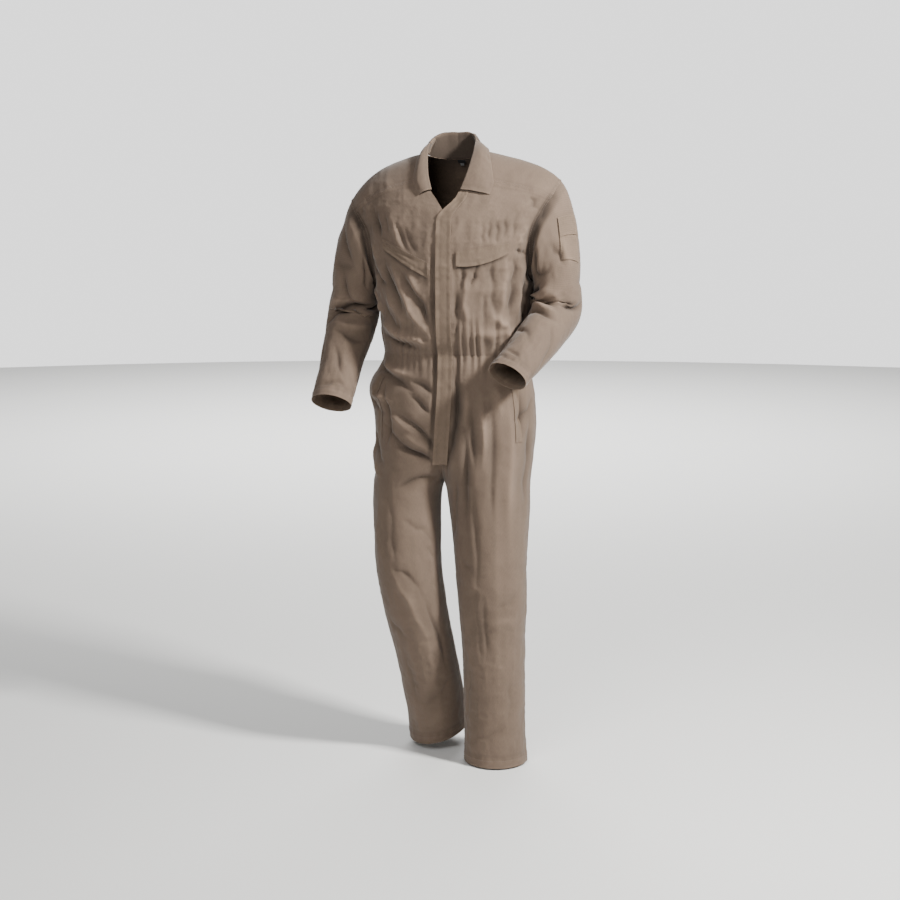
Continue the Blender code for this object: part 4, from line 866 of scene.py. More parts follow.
def body_cloth(station, angle):
    """The body's cloth at a station and an angle: points, outward normals, flat coordinates, rubbing and
    painted shade.
    """
    station, angle = np.broadcast_arrays(np.asarray(station, float), np.asarray(angle, float))
    point = body_point(station, angle)
    x, z = point[..., 0], point[..., 2]
    u = angle * BODY_ROUND
    size = np.abs(station)
    above = size < ARMPIT
    front = ease(station, -0.02, 0.02)
    half = track(BODY, "half", station)
    up = 1 - ease(size, 0, 0.5)
    away = np.stack([np.sin(angle), -np.sign(station) * np.cos(angle), up], axis=-1)
    normal = level_off(surface_normal(body_point, station, angle, away), ease(size, 0.66, 0.70))
    arm = np.where(size > ARMPIT, 1.0, (arm_limit(station) - np.abs(angle)) * half)
    before = crease_height(FRONT_CREASES, u, z, 1.0)
    folds = np.where(station > 0, before, crease_height(BACK_CREASES, u, z, 1.0))
    soft = 0.0024 * rumple(u, 0.75 * z, 0.046, 11) * ease(size, 0.02, 0.30)
    soft = soft + 0.0013 * rumple(u + 0.4, 0.8 * z, 0.021, 21) * ease(size, 0.08, 0.40)
    folds = (folds * ease(size, 0.24, 0.34) + soft) * (1 - ease(size, 0.672, 0.699))
    folds = folds * (1 - 0.75 * ease(np.abs(angle), 1.30, 1.56)) * (0.15 + 0.85 * ease(arm, 0.004, 0.040))
    folds = folds + waist_gathers(x, z, front) + placket_valley(x, z, front)
    seams = seam_height(arm, z + station, 31) * above
    yoke_seams = (
        ((station - YOKE_FRONT) * YOKE_FRONT_PACE, 33, 0.0002, 0.0002),
        ((-station - YOKE_BACK) * YOKE_BACK_PACE, 35, 0.0006, 0.0009),
    )
    for edge, seed, lift, pucker in yoke_seams:
        seams = seams + seam_height(np.abs(edge), u, seed, lift=np.where(edge < 0, lift, 0), pucker=pucker)
    side = (math.pi / 2 - np.abs(angle)) * half * 0.8
    seams = seams + seam_height(side, z, 39) * (size > ARMPIT)
    # The cloth sinks beside the front of the armhole, most of all towards the armpit.
    beside = np.maximum(arm, 0)
    sink = beside / ARMHOLE_SINK_REACH * np.exp(1 - beside / ARMHOLE_SINK_REACH)
    sink = -ARMHOLE_SINK * sink * ease(station, 0.22, 0.46) * above
    # The left side rests against the sleeve beside it.
    touch = SIDE_TOUCH * hill(z, -0.375, 0.045) * ease(angle, 1.15, 1.50)
    # Painted shade: the cloth is darkened in the armhole's hollow and along its front seam (deep, and the
    # sink's share), on the left side where the sleeve hangs beside it, and just under the chest flaps'
    # free edges; folds add rubbed crests and painted shade in their hollows.
    deep = hill(beside, 0, 0.012) * ease(station, 0.18, 0.34) * above
    sleeve_side_painted_shade = ease(angle, 0.80, 1.25) * ease(station, 0.36, 0.46) * (1 - ease(-z, 0.40, 0.47))
    shade = 1.3 * deep + 0.9 * sleeve_side_painted_shade + painted_flap_shadow(x, z, station)
    wear_and_shade = WEAR_AND_SHADE_MEAN + FOLD_WEAR_AND_SHADE * folds + 20 * sink + WEAR_SEAM * seams - shade
    return raised(point, normal, folds + seams + sink + touch, u, z, wear_and_shade)


def leg_cloth(side, level, turn):
    """A trouser half's cloth at a level and a turn from the side seam."""
    level, turn = np.broadcast_arrays(np.asarray(level, float), np.asarray(turn, float))
    leg = LEGS[side]
    point = leg_point(side, level, turn)
    away = np.stack([SIGN[side] * np.cos(turn), -np.sin(turn), np.zeros_like(turn)], axis=-1)
    normal = surface_normal(lambda a, b: leg_point(side, a, b), level, turn, away)
    normal = level_off(normal, 1 - ease(-level, WAIST_DROP, WAIST_DROP + 0.03))
    hip = level >= CROTCH
    hip_half = track(HIPS, side, level) / (1 + track(HIPS, "split", level))
    half = np.where(hip, hip_half, track(leg, "half", level))
    mean = 0.5 * (half + np.where(hip, track(HIPS, "front", level), track(leg, "front", level)))
    u = turn * mean
    inner = hip_turn(level, 1.0) * mean - np.abs(u)
    hem = level - leg["key"][0]
    soft = 0.0015 * rumple(u, 0.7 * level, 0.056, 51 if side == "left" else 61)
    soft = soft + 0.0007 * rumple(u, level + 0.3, 0.024, 71) * (0.5 + ease(-level, 0.9, 1.3))
    folds = crease_height(LEG_CREASES[side], u, level, 0.6)
    folds = folds * (1 - 0.60 * ease(-level, 0.78, 0.92)) + soft
    folds = folds * ease(-level, 0.491, 0.525) * (0.25 + 0.75 * ease(inner, 0.004, 0.035))
    folds = folds * (0.35 + 0.65 * ease(hem, 0.0, 0.045))
    front = ease(turn, -0.05, 0.05)
    x = point[..., 0]
    folds = folds + waist_gathers(x, level, front)
    folds = folds + placket_valley(x - track(HIPS, "mid", np.maximum(level, CROTCH)), level, front)
    seams = seam_height(np.abs(u), level, 41, lift=0.0)
    seams = seams + 0.0006 * between(u, -0.0004, 0.0004, 0.008, 0.011)
    seams = seams + seam_height(inner, level, 43) + hem_height(hem, HEM_DEPTH, u, 45)
    # Folds add rubbed crests and painted shade in their hollows.
    wear_and_shade = WEAR_AND_SHADE_MEAN + FOLD_WEAR_AND_SHADE * folds + WEAR_SEAM * seams
    return raised(point, normal, folds + seams, u, level, wear_and_shade)


def sleeve_lengths(side):
    """Distance down the sleeve from the armhole, against the station."""
    station = np.linspace(0, CUFF_STATION, 400)
    point = sleeve_point(side, np.linspace(0, 1, 24, endpoint=False)[None, :], station[:, None])
    step = np.linalg.norm(np.diff(point, axis=0), axis=2).mean(axis=1)
    return station, np.concatenate([[0], np.cumsum(step)])


def sleeve_cloth(side, share, station):
    """A sleeve's cloth at a share of the way round and a station down the arm."""
    share, station = np.broadcast_arrays(np.asarray(share, float), np.asarray(station, float))
    sign = SIGN[side]
    point = sleeve_point(side, share, station)
    inside = np.clip(station, 0.004, CUFF_STATION - 0.004)
    along = sleeve_point(side, share, inside + 0.003) - sleeve_point(side, share, inside - 0.003)
    around = sleeve_point(side, share + 0.003, station) - sleeve_point(side, share - 0.003, station)
    normal = sign * unit(np.cross(along, around))
    stations, lengths = sleeve_lengths(side)
    v = np.interp(station, stations, lengths)
    u = share * SLEEVE_ROUND
    hem = lengths[-1] - v
    folds = sum(crease_height(SLEEVE_CREASES[side], u + shift * SLEEVE_ROUND, v, 0.8)
                for shift in (-1, 0, 1))
    # The soft rumple is read round a circle, so that it closes at the underarm seam.
    turn = 2 * math.pi * share
    circle = 0.066 * np.stack([np.cos(turn), np.sin(turn) + v / 0.066])
    soft = 0.0013 * rumple(circle[0], circle[1], 0.040, 81 + sign)
    soft = soft + 0.0006 * rumple(circle[0], circle[1], 0.019, 91 + sign)
    folds = (folds + soft) * ease(v, 0.002, 0.020) * (0.35 + 0.65 * ease(hem, 0.0, 0.035))
    folds = folds + 0.0016 * between(v, 0.001, 0.010, 0.012, 0.045)
    way = share % 1
    ahead = between(way, 0.04, 0.14, 0.36, 0.48)
    roll = CAP_ROLL * ahead * between(v, 0.0, 0.016, 0.018, 0.080)
    seams = seam_height(np.minimum(way, 1 - way) * SLEEVE_ROUND, v, 83)
    seams = seams + seam_height(v, u, 85, lift=0.0) + hem_height(hem, CUFF_DEPTH, u, 87)
    # Painted shade: the sleeve is darkened along the front of its armhole seam and on its inner upper arm
    # beside the body; folds add rubbed crests and painted shade in their hollows.
    inner = hill(way, 0.04, 0.07) * between(v, 0.02, 0.05, 0.20, 0.27)
    wear_and_shade = WEAR_AND_SHADE_MEAN + FOLD_WEAR_AND_SHADE * folds + WEAR_SEAM * seams
    wear_and_shade = wear_and_shade - 1.3 * ahead * hill(v, 0, 0.010) - 0.7 * inner
    return raised(point, normal, folds + seams + roll, u, v, wear_and_shade)


def front_middle(level):
    """The middle plane of the front at a level: it bends aside only below the waist."""
    return np.where(level < -WAIST_DROP, track(HIPS, "mid", np.minimum(level, -WAIST_DROP)), 0.0)


def front_cloth(x, z):
    """Cloth of the front of the trunk at a distance from the middle plane and a level."""
    x, z = np.broadcast_arrays(np.asarray(x, float), np.asarray(z, float))
    high = body_cloth(*front_spot(x, np.maximum(z, -WAIST_DROP)))
    level = np.minimum(z, -WAIST_DROP)
    mid = track(HIPS, "mid", level)
    split = track(HIPS, "split", level)
    point = np.array(high[0])
    normal = np.array(high[1])
    for side in ("left", "right"):
        half = track(HIPS, side, level) / (1 + split)
        aside = SIGN[side] * (x - mid)
        low = leg_cloth(side, level, np.arccos(np.clip(aside / half - split, -1, 1)))
        here = (aside >= 0) & (z <= -WAIST_DROP)
        point[here] = low[0][here]
        normal[here] = low[1][here]
    return point, normal


def linear(code):
    """A colour written as six sRGB hex digits, as the linear red, green and blue shaders use."""
    values = [int(code[start:start + 2], 16) / 255 for start in (1, 3, 5)]
    return tuple(v / 12.92 if v <= 0.04045 else ((v + 0.055) / 1.055) ** 2.4 for v in values)


def length_property(name, description, default, least, most):
    """A length of the cloth or its sewing, in metres."""
    return bpy.props.FloatProperty(name=name, description=description, default=default, min=least,
                                   max=most, precision=4, subtype="DISTANCE", unit="LENGTH")


def colour_property(name, description, code):
    """A colour, from its sRGB hex code."""
    return bpy.props.FloatVectorProperty(name=name, description=description, default=linear(code),
                                         size=3, min=0, max=1, subtype="COLOR")


class SuitSizes(bpy.types.PropertyGroup):
    """Sizes of the cloth, its mesh and its sewing."""

    cloth: length_property("Cloth thickness", "Thickness of the twill", 0.0009, 0.0003, 0.003)
    trim: length_property("Doubled cloth", "Thickness where two layers are sewn together",
                          0.0012, 0.0005, 0.004)
    tape: length_property("Tape thickness", "Thickness of the zip's tape and the labels",
                          0.0006, 0.0002, 0.002)
    step: length_property("Mesh step", "Spacing of the mesh over the cloth", 0.0037, 0.002, 0.02)
    stitch_pitch: length_property("Stitch pitch", "From one stitch to the next", 0.0042, 0.001, 0.01)
    stitch_length: length_property("Stitch length", "Length of one stitch", 0.0031, 0.0008, 0.008)
    thread: length_property("Thread width", "Width of the sewing thread", 0.0008, 0.0002, 0.002)
    twill_pitch: length_property("Twill line pitch", "Distance between the weave's lines",
                                 0.0030, 0.0005, 0.01)


class SuitColours(bpy.types.PropertyGroup):
    """Colours of the cloth, sewing, labels and studio."""

    twill: colour_property("Twill", "Colour of the main cloth", "#645549")
    trim: colour_property("Trim", "Colour of the doubled cloth of placket, flaps and welts", "#655649")
    inside: colour_property("Inside", "Colour of the reverse of the cloth", "#6A5A4C")
    thread: colour_property("Thread", "Colour of the sewing thread", "#5F5248")
    tape: colour_property("Zip tape", "Colour of the zip's woven tape", "#4A4038")
    teeth: colour_property("Zip teeth", "Colour of the moulded zip teeth", "#3A322C")
    label: colour_property("Neck label", "Colour of the blank woven label", "#17171A")
    tab: colour_property("Size tab", "Colour of the blank tab", "#A3A3A3")
    floor: colour_property("Floor", "Colour of the studio floor", "#DEDEDC")


def sizes():
    """The suit's sizes as the sidebar holds them."""
    return bpy.context.scene.suit_sizes


def colours():
    """The suit's colours as the sidebar holds them."""
    return bpy.context.scene.suit_colours


def add(tree, kind, settings=None, **links):
    """One node with its settings and what feeds its sockets: a value, or another node's socket."""
    node = tree.nodes.new(kind)
    for name, value in (settings or {}).items():
        setattr(node, name, value)
    for name, value in links.items():
        key = int(name[1:]) if name[1:].isdigit() and name[0] == "i" else name.replace("_", " ")
        socket = node.inputs[key]
        if isinstance(value, bpy.types.NodeSocket):
            tree.links.new(value, socket)
        else:
            socket.default_value = value
    return node


def new_finish(name, roughness, **constants):
    """A material with a plain shader, its constants on the shader's own sockets; one that exists
    already comes back without its tree."""
    material = bpy.data.materials.get(name)
    if material:
        return material, None, None
    material = bpy.data.materials.new(name)
    material.use_nodes = True
    tree = material.node_tree
    shader = tree.nodes["Principled BSDF"]
    shader.inputs["Roughness"].default_value = roughness
    for label, value in constants.items():
        shader.inputs[label.replace("_", " ")].default_value = value
    return material, tree, shader


def dye(tree, shader, colour, pattern, spread):
    """Gives the shader its colour, darker and lighter by a spread where the pattern is 0 and 1."""
    shade = add(tree, "ShaderNodeMapRange", Value=pattern, To_Min=1 - spread, To_Max=1 + spread)
    dyed = add(tree, "ShaderNodeVectorMath", {"operation": "SCALE"}, Vector=tuple(colour),
               Scale=shade.outputs["Result"])
    tree.links.new(dyed.outputs["Vector"], shader.inputs["Base Color"])


def clouded_finish(name, colour, scale, spread, roughness, **constants):
    """A plain finish on an object's own coordinates, whose colour varies softly by a spread."""
    material, tree, shader = new_finish(name, roughness, **constants)
    if tree:
        place = add(tree, "ShaderNodeTexCoord").outputs["Object"]
        cloud = add(tree, "ShaderNodeTexNoise", Vector=place, Scale=scale, Detail=2.0)
        dye(tree, shader, colour, cloud.outputs["Fac"], spread)
    return material


def twill_finish(name, colour, depth=1.0):
    """Garment-washed cotton work twill: matt, with steep diagonal lines, uneven yarns, faint
    mottling, crests rubbed paler than the hollows, and painted shade darkening the hollows, the armholes,
    the cloth under the flaps and the inside of the collar."""
    material, tree, shader = new_finish(name, 0.86, IOR=1.45, Sheen_Weight=0.14, Sheen_Roughness=0.45,
                                        Specular_IOR_Level=0.28)
    if tree is None:
        return material
    place = add(tree, "ShaderNodeTexCoord").outputs["UV"]
    # The real lines stand about 1 mm apart; they are drawn coarser so that they still read.
    turned = add(tree, "ShaderNodeMapping", Vector=place, Rotation=(0, 0, math.radians(62)))
    bands = {"wave_type": "BANDS", "bands_direction": "X", "wave_profile": "SIN"}
    lines = add(tree, "ShaderNodeTexWave", bands, Vector=turned.outputs["Vector"],
                Scale=WAVE_SCALE / sizes().twill_pitch, Distortion=1.4, Detail=2.0, Detail_Scale=3.0)
    yarn = add(tree, "ShaderNodeMapping", Vector=place, Scale=(1.0, 0.12, 1.0))
    slub = add(tree, "ShaderNodeTexNoise", Vector=yarn.outputs["Vector"], Scale=900.0, Detail=2.0)
    mottle = add(tree, "ShaderNodeTexNoise", Vector=place, Scale=14.0, Detail=4.0, Roughness=0.6)
    # This attribute is partly real rubbing, paler on crests and rims, and partly painted shade, darker in
    # fold hollows, along the armholes, beside the left sleeve, under the chest flaps and inside the
    # collar's stand.
    wear_and_shade = add(tree, "ShaderNodeAttribute", {"attribute_name": "wear_and_shade"})
    shades = (
        add(tree, "ShaderNodeMapRange", {"clamp": False}, Value=wear_and_shade.outputs["Fac"],
            To_Min=0.76, To_Max=1.24),
        add(tree, "ShaderNodeMapRange", Value=mottle.outputs["Fac"], From_Min=0.25, From_Max=0.75,
            To_Min=0.94, To_Max=1.06),
        add(tree, "ShaderNodeMapRange", Value=slub.outputs["Fac"], From_Min=0.3, From_Max=0.7,
            To_Min=0.93, To_Max=1.07),
        add(tree, "ShaderNodeMapRange", Value=lines.outputs["Fac"], To_Min=0.95, To_Max=1.05),
    )
    shade = shades[0].outputs["Result"]
    for part in shades[1:]:
        both = add(tree, "ShaderNodeMath", {"operation": "MULTIPLY"}, i0=shade,
                   i1=part.outputs["Result"])
        shade = both.outputs["Value"]
    dyed = add(tree, "ShaderNodeVectorMath", {"operation": "SCALE"}, Vector=tuple(colour), Scale=shade)
    tree.links.new(dyed.outputs["Vector"], shader.inputs["Base Color"])
    crumple = add(tree, "ShaderNodeTexNoise", Vector=place, Scale=55.0, Detail=5.0, Roughness=0.55)
    soft = add(tree, "ShaderNodeBump", Height=crumple.outputs["Fac"], Strength=0.6 * depth,
               Distance=0.0016)
    ribbed = add(tree, "ShaderNodeBump", Height=lines.outputs["Fac"], Strength=0.5, Distance=0.00022,
                 Normal=soft.outputs["Normal"])
    fuzz = add(tree, "ShaderNodeBump", Height=slub.outputs["Fac"], Strength=0.4, Distance=0.00016,
               Normal=ribbed.outputs["Normal"])
    tree.links.new(fuzz.outputs["Normal"], shader.inputs["Normal"])
    return material


def face_finish():
    """The outer face of the twill."""
    return twill_finish("washed_work_twill", colours().twill)


def reverse_finish():
    """The inside of the twill: a little paler and more crumpled than the face."""
    return twill_finish("reverse_of_work_twill", colours().inside, 1.4)


def doubled_finish():
    """Two layers of the twill pressed together: the same cloth, lying flatter."""
    return twill_finish("doubled_work_twill", colours().trim, 0.7)


def thread_finish():
    """Spun polyester sewing thread: slightly smoother than the cloth that it sinks into."""
    return clouded_finish("spun_sewing_thread", colours().thread, 600.0, 0.2, 0.6, IOR=1.5,
                          Sheen_Weight=0.1)


def tape_finish(name, colour):
    """Close-woven narrow tape or label ribbon: cross ribs 1.2 mm apart and a low lustre."""
    material, tree, shader = new_finish(name, 0.55, IOR=1.5, Sheen_Weight=0.15)
    if tree is None:
        return material
    place = add(tree, "ShaderNodeTexCoord").outputs["UV"]
    ribs = add(tree, "ShaderNodeTexWave", {"wave_type": "BANDS", "bands_direction": "Y"}, Vector=place,
               Scale=WAVE_SCALE / TAPE_RIB, Distortion=0.3)
    dye(tree, shader, colour, ribs.outputs["Fac"], 0.15)
    bump = add(tree, "ShaderNodeBump", Height=ribs.outputs["Fac"], Strength=0.5, Distance=0.0002)
    tree.links.new(bump.outputs["Normal"], shader.inputs["Normal"])
    return material


def teeth_finish():
    """Moulded polymer zip coil: smooth, with a soft highlight and a faint cloudiness."""
    return clouded_finish("moulded_polymer_coil", colours().teeth, 90.0, 0.1, 0.35, IOR=1.5)


def shell(name, points, normals, uv, wear_and_shade, finish, wall, wrap=False, missing=None, reverse=None):
    """A cloth piece from a grid of points: quads, flat coordinates, rubbing with painted shade, and a
    thickness inwards.

    On a wrapped grid uv has one column more than points, so the pattern closes at the seam."""
    rows, columns = points.shape[:2]
    last = columns if wrap else columns - 1
    row, column = np.meshgrid(np.arange(rows - 1), np.arange(last), indexing="ij")
    after = (column + 1) % columns
    quads = np.stack([row * columns + column, row * columns + after, (row + 1) * columns + after,
                      (row + 1) * columns + column], axis=-1)
    corner = row * uv.shape[1] + column
    corner = np.stack([corner, corner + 1, corner + uv.shape[1] + 1, corner + uv.shape[1]], axis=-1)
    if missing is not None:
        quads = quads[~missing]
        corner = corner[~missing]
    quads = quads.reshape(-1, 4)
    corner = corner.reshape(-1, 4)
    spots = points.reshape(-1, 3)
    corners = spots[quads]
    facing = np.cross(corners[:, 2] - corners[:, 0], corners[:, 3] - corners[:, 1])
    if np.sum(facing * normals.reshape(-1, 3)[quads[:, 0]]) < 0:
        quads = quads[:, ::-1]
        corner = corner[:, ::-1]
    used, renumbered = np.unique(quads, return_inverse=True)
    mesh = bpy.data.meshes.new(name)
    mesh.from_pydata(spots[used].tolist(), [], renumbered.reshape(-1, 4).tolist())
    layer = mesh.uv_layers.new(name="flat")
    layer.data.foreach_set("uv", uv.reshape(-1, 2)[corner.reshape(-1)].astype(np.float32).ravel())
    wear_and_shade_layer = mesh.attributes.new("wear_and_shade", "FLOAT", "POINT")
    wear_and_shade_layer.data.foreach_set("value", wear_and_shade.reshape(-1)[used].astype(np.float32))
    mesh.shade_smooth()
    sides = np.zeros(len(mesh.loops), int)
    mesh.loops.foreach_get("edge_index", sides)
    rim = np.bincount(sides, minlength=len(mesh.edges)) == 1
    mesh.attributes.new("sharp_edge", "BOOLEAN", "EDGE").data.foreach_set("value", rim)
    mesh.materials.append(finish)
    if reverse:
        mesh.materials.append(reverse)
    item = bpy.data.objects.new("suit_" + name, mesh)
    bpy.context.scene.collection.objects.link(item)
    thick = item.modifiers.new("thickness", "SOLIDIFY")
    thick.thickness = wall
    thick.offset = -1
    thick.material_offset = 1 if reverse else 0
    return item


def flat_uv(u, v, wrap_to=None):
    """Flat coordinates of a grid as pairs, with a closing column where the grid wraps."""
    pair = np.stack(np.broadcast_arrays(u, v), axis=-1)
    if wrap_to is not None:
        close = pair[:, :1].copy()
        close[..., 0] += wrap_to
        pair = np.concatenate([pair, close], axis=1)
    return pair


def settle(item, node):
    """Puts a piece on the frame's body in place of its solid, and hides that solid."""
    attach(item, "root")
    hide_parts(node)


def sew(node, cloth, wall=None, wrap_to=None, missing=None):
    """Makes and settles a piece of single twill from its cloth; wrap_to is a closed tube's width."""
    points, normals, u, v, wear_and_shade = cloth
    item = shell(node, points, normals, flat_uv(u, v, wrap_to), wear_and_shade, face_finish(),
                 wall or sizes().cloth, wrap=wrap_to is not None, missing=missing,
                 reverse=reverse_finish())
    settle(item, node)


def sew_doubled(node, cloth, lift, wear_and_shade, wall):
    """Makes and settles a piece of doubled twill, lifted off the cloth that it lies on."""
    points, normals, u, v = cloth[:4]
    item = shell(node, points + normals * lift[..., None], normals, flat_uv(u, v),
                 np.clip(wear_and_shade, 0, 1), doubled_finish(), wall)
    settle(item, node)


def count(length):
    """How many points the mesh has along a length."""
    return max(2, int(round(length / sizes().step)))


def neck_angle(station):
    """The neckline's angle, closed to nothing below its point."""
    angle = np.radians(track(NECKLINE, "degrees", np.maximum(station, -NECK_BACK)))
    return np.where(station >= NECKLINE["key"][-1], 0.0, angle)


def arm_angle(station):
    """The armhole's angle, and the side seam below the armpit."""
    return np.where(np.abs(station) >= ARMPIT, math.pi / 2, arm_limit(station))


class SUIT_OT_yoke_and_back(bpy.types.Operator):
    """Build the shoulder yoke and the back panel"""

    bl_idname = "suit.yoke_and_back"
    bl_label = "Yoke and back"

    def execute(self, context):
        station = np.linspace(YOKE_FRONT, -YOKE_BACK, count(0.34))[:, None]
        neck = neck_angle(station)
        wing = neck + (arm_angle(station) - neck) * np.linspace(0, 1, count(0.20))
        middle = count(0.11)
        centre = neck * np.linspace(-1, 1, middle + 1)[1:-1]
        angle = np.concatenate([-wing[:, ::-1], centre, wing], axis=1)
        missing = np.zeros((len(station) - 1, angle.shape[1] - 1), bool)
        open_rows = station[:-1, 0] > -NECK_BACK + 1e-6
        missing[open_rows, wing.shape[1] - 1:wing.shape[1] - 1 + middle] = True
        sew("yoke", body_cloth(station, angle), missing=missing)
        station = -np.linspace(YOKE_BACK, math.sqrt(WAIST_DROP), count(0.40))[:, None]
        angle = arm_angle(station) * np.linspace(-1, 1, count(0.50))
        sew("back", body_cloth(station, angle))
        return {"FINISHED"}


class SUIT_OT_fronts(bpy.types.Operator):
    """Build the two front panels from the yoke seam to the waist"""

    bl_idname = "suit.fronts"
    bl_label = "Fronts"

    def execute(self, context):
        station = np.linspace(YOKE_FRONT, math.sqrt(WAIST_DROP), count(0.46))[:, None]
        part = np.linspace(0, 1, count(0.27))
        angle = neck_angle(station) * (1 - part) + arm_angle(station) * part
        for side, sign in SIGN.items():
            sew("front_" + side, body_cloth(station, sign * angle))
        return {"FINISHED"}


class SUIT_OT_trousers(bpy.types.Operator):
    """Build the four trouser panels from the waist to the hems"""

    bl_idname = "suit.trousers"
    bl_label = "Trousers"

    def execute(self, context):
        for side in SIGN:
            level = np.linspace(-WAIST_DROP, LEGS[side]["key"][0], count(1.06))[:, None]
            for face, sign in (("front", 1), ("back", -1)):
                turn = hip_turn(level, sign * np.linspace(0, 1, count(0.31)))
                sew("trouser_%s_%s" % (face, side), leg_cloth(side, level, turn))
        return {"FINISHED"}


class SUIT_OT_sleeves(bpy.types.Operator):
    """Build both sleeves, each closed by its underarm seam"""

    bl_idname = "suit.sleeves"
    bl_label = "Sleeves"

    def execute(self, context):
        for side in SIGN:
            share = np.linspace(0, 1, count(0.46), endpoint=False)
            stations, lengths = sleeve_lengths(side)
            down = np.linspace(0, lengths[-1], count(lengths[-1]))
            station = np.interp(down, lengths, stations)[:, None]
            sew("sleeve_" + side, sleeve_cloth(side, share, station),
                wrap_to=SLEEVE_ROUND)
        return {"FINISHED"}


def collar_grid(part):
    """The collar's outside and its normals, from its neck seam over the roll to its free edge."""
    size = np.abs(part)
    sign = np.sign(part)
    roll = np.stack([track(COLLAR, axis, size) for axis in ("roll_x", "roll_y", "roll_z")], axis=-1)
    roll[..., 0] = sign * roll[..., 0] + COLLAR_SHIFT * (1 - ease(size, 0.45, 0.85))
    foot_angle = sign * np.radians(track(COLLAR, "foot_degrees", size))
    foot, foot_normal = body_cloth(track(COLLAR, "foot_station", size), foot_angle)[:2]
    foot = foot + foot_normal * 2 * LAYER_GAP
    edge_station = track(COLLAR, "edge_station", size)
    narrowing = 1 - np.where(part < 0, RIGHT_LEAF_NARROWING, 0) * size**2
    edge_angle = sign * narrowing * np.radians(track(COLLAR, "edge_degrees", size))
    edge = body_point(edge_station, edge_angle)
    line = unit(np.gradient(roll, axis=0))

    def square(vectors, axis):
        return unit(vectors - axis * np.sum(vectors * axis, axis=-1, keepdims=True))

    fall = square(edge - roll, line)
    crest = unit(square(roll - foot, line) - 0.9 * fall)
    lean = square(fall, crest)
    bent = []
    for turned in np.radians(np.linspace(-80, 80, BEND_ROWS)):
        bent.append(roll + COLLAR_BEND * (lean * math.sin(turned) + crest * (math.cos(turned) - 1)))
    rows = []
    for share in np.linspace(0, 1, STAND_ROWS, endpoint=False):
        rows.append(foot * (1 - share) + bent[0] * share - lean * 0.006 * share * (1 - share))
    rows += bent
    away = surface_normal(body_point, edge_station, edge_angle, foot_normal)
    edge = edge + away * track(COLLAR, "edge_lift", size)[:, None]
    for share in np.linspace(0, 1, FALL_ROWS + 1)[1:]:
        bulge = 4 * share * (1 - share) * track(COLLAR, "bulge", size)
        rows.append(bent[-1] * (1 - share) + edge * share + away * bulge[:, None])
    outer = np.array(rows)
    normal = unit(np.cross(np.gradient(outer, axis=1), np.gradient(outer, axis=0)))
    if normal[-2, outer.shape[1] // 2, 1] < 0:
        normal = -normal
    return outer, normal


class SUIT_OT_collar(bpy.types.Operator):
    """Build the collar, cut in one with its stand, rolled over and lying open on the fronts"""

    bl_idname = "suit.collar"
    bl_label = "Collar"

    def execute(self, context):
        part = np.linspace(-1, 1, count(0.56))
        outer, normal = collar_grid(part)
        steps = np.linalg.norm(np.diff(outer, axis=0), axis=2)
        v = np.concatenate([np.zeros((1, len(part))), np.cumsum(steps, axis=0)])
        along = np.linalg.norm(np.diff(outer[STAND_ROWS + BEND_ROWS - 2], axis=0), axis=1)
        u = np.broadcast_to(np.concatenate([[0], np.cumsum(along)]), v.shape)
        edge = v[-1:] - v
        rim = np.minimum(edge, np.minimum(u, u[:, -1:] - u))
        height = 0.0011 * rumple(u, v, 0.030, 101) * ease(edge, 0.0, 0.012) * ease(v, 0.030, 0.050)
        height = height + seam_height(rim, u, 103, band=0.006)
        # Rubbed paler on crests and rims, with painted shade in the hollows of its rumple.
        wear_and_shade = np.clip(0.35 + 60 * height + 0.25 * hill(rim, 0, 0.003), 0, 1)
        # The neck side of the stand at the back is painted dark: painted shade inside the collar.
        over = v - v[STAND_ROWS + 2]
        wear_and_shade = wear_and_shade - 1.2 * (1 - ease(over, -0.008, 0.004)) * (1 - ease(np.abs(part), 0.62, 0.90))
        outer = outer + normal * height[..., None]
        sew("collar", (outer, normal, u, v, wear_and_shade), sizes().trim)
        return {"FINISHED"}


def placket_grid(across, rows):
    """The placket's outside, a flat band that curves open at the neck, with its normals, levels
    and width; rows is the number of rows below the curve."""
    bent = np.linspace(PLACKET_TOP, -0.170, rows // 6)
    level = np.concatenate([bent, np.linspace(-0.174, PLACKET_FOOT, rows)])[:, None]
    opening = ease(level, -0.168, -0.100)
    edge = front_middle(level) - PLACKET_HALF + 0.049 * opening
    width = 2 * PLACKET_HALF - 0.012 * opening
    x = edge + width * across
    beneath = front_cloth(edge + width * np.linspace(-0.06, 1.06, 13), level)[0]
    forward = beneath[..., 1].min(axis=1)
    kernel = np.exp(-np.linspace(-2, 2, 13) ** 2)
    kernel /= kernel.sum()
    padded = np.concatenate([np.full(6, forward[0]), forward, np.full(6, forward[-1])])
    forward = np.minimum(np.convolve(padded, kernel, "valid"), forward + 0.0006)[:, None]
    surface, chest = front_cloth(x, level)
    steep = ease(level, -0.30, -0.15)[..., None]
    base = np.stack(np.broadcast_arrays(x, forward, level), axis=-1) * (1 - steep) + surface * steep
    base[..., 1] = np.minimum(base[..., 1], surface[..., 1])
    normal = unit(np.array([0.0, -1.0, 0.0]) * (1 - steep) + chest * steep)
    return base, normal, level, width


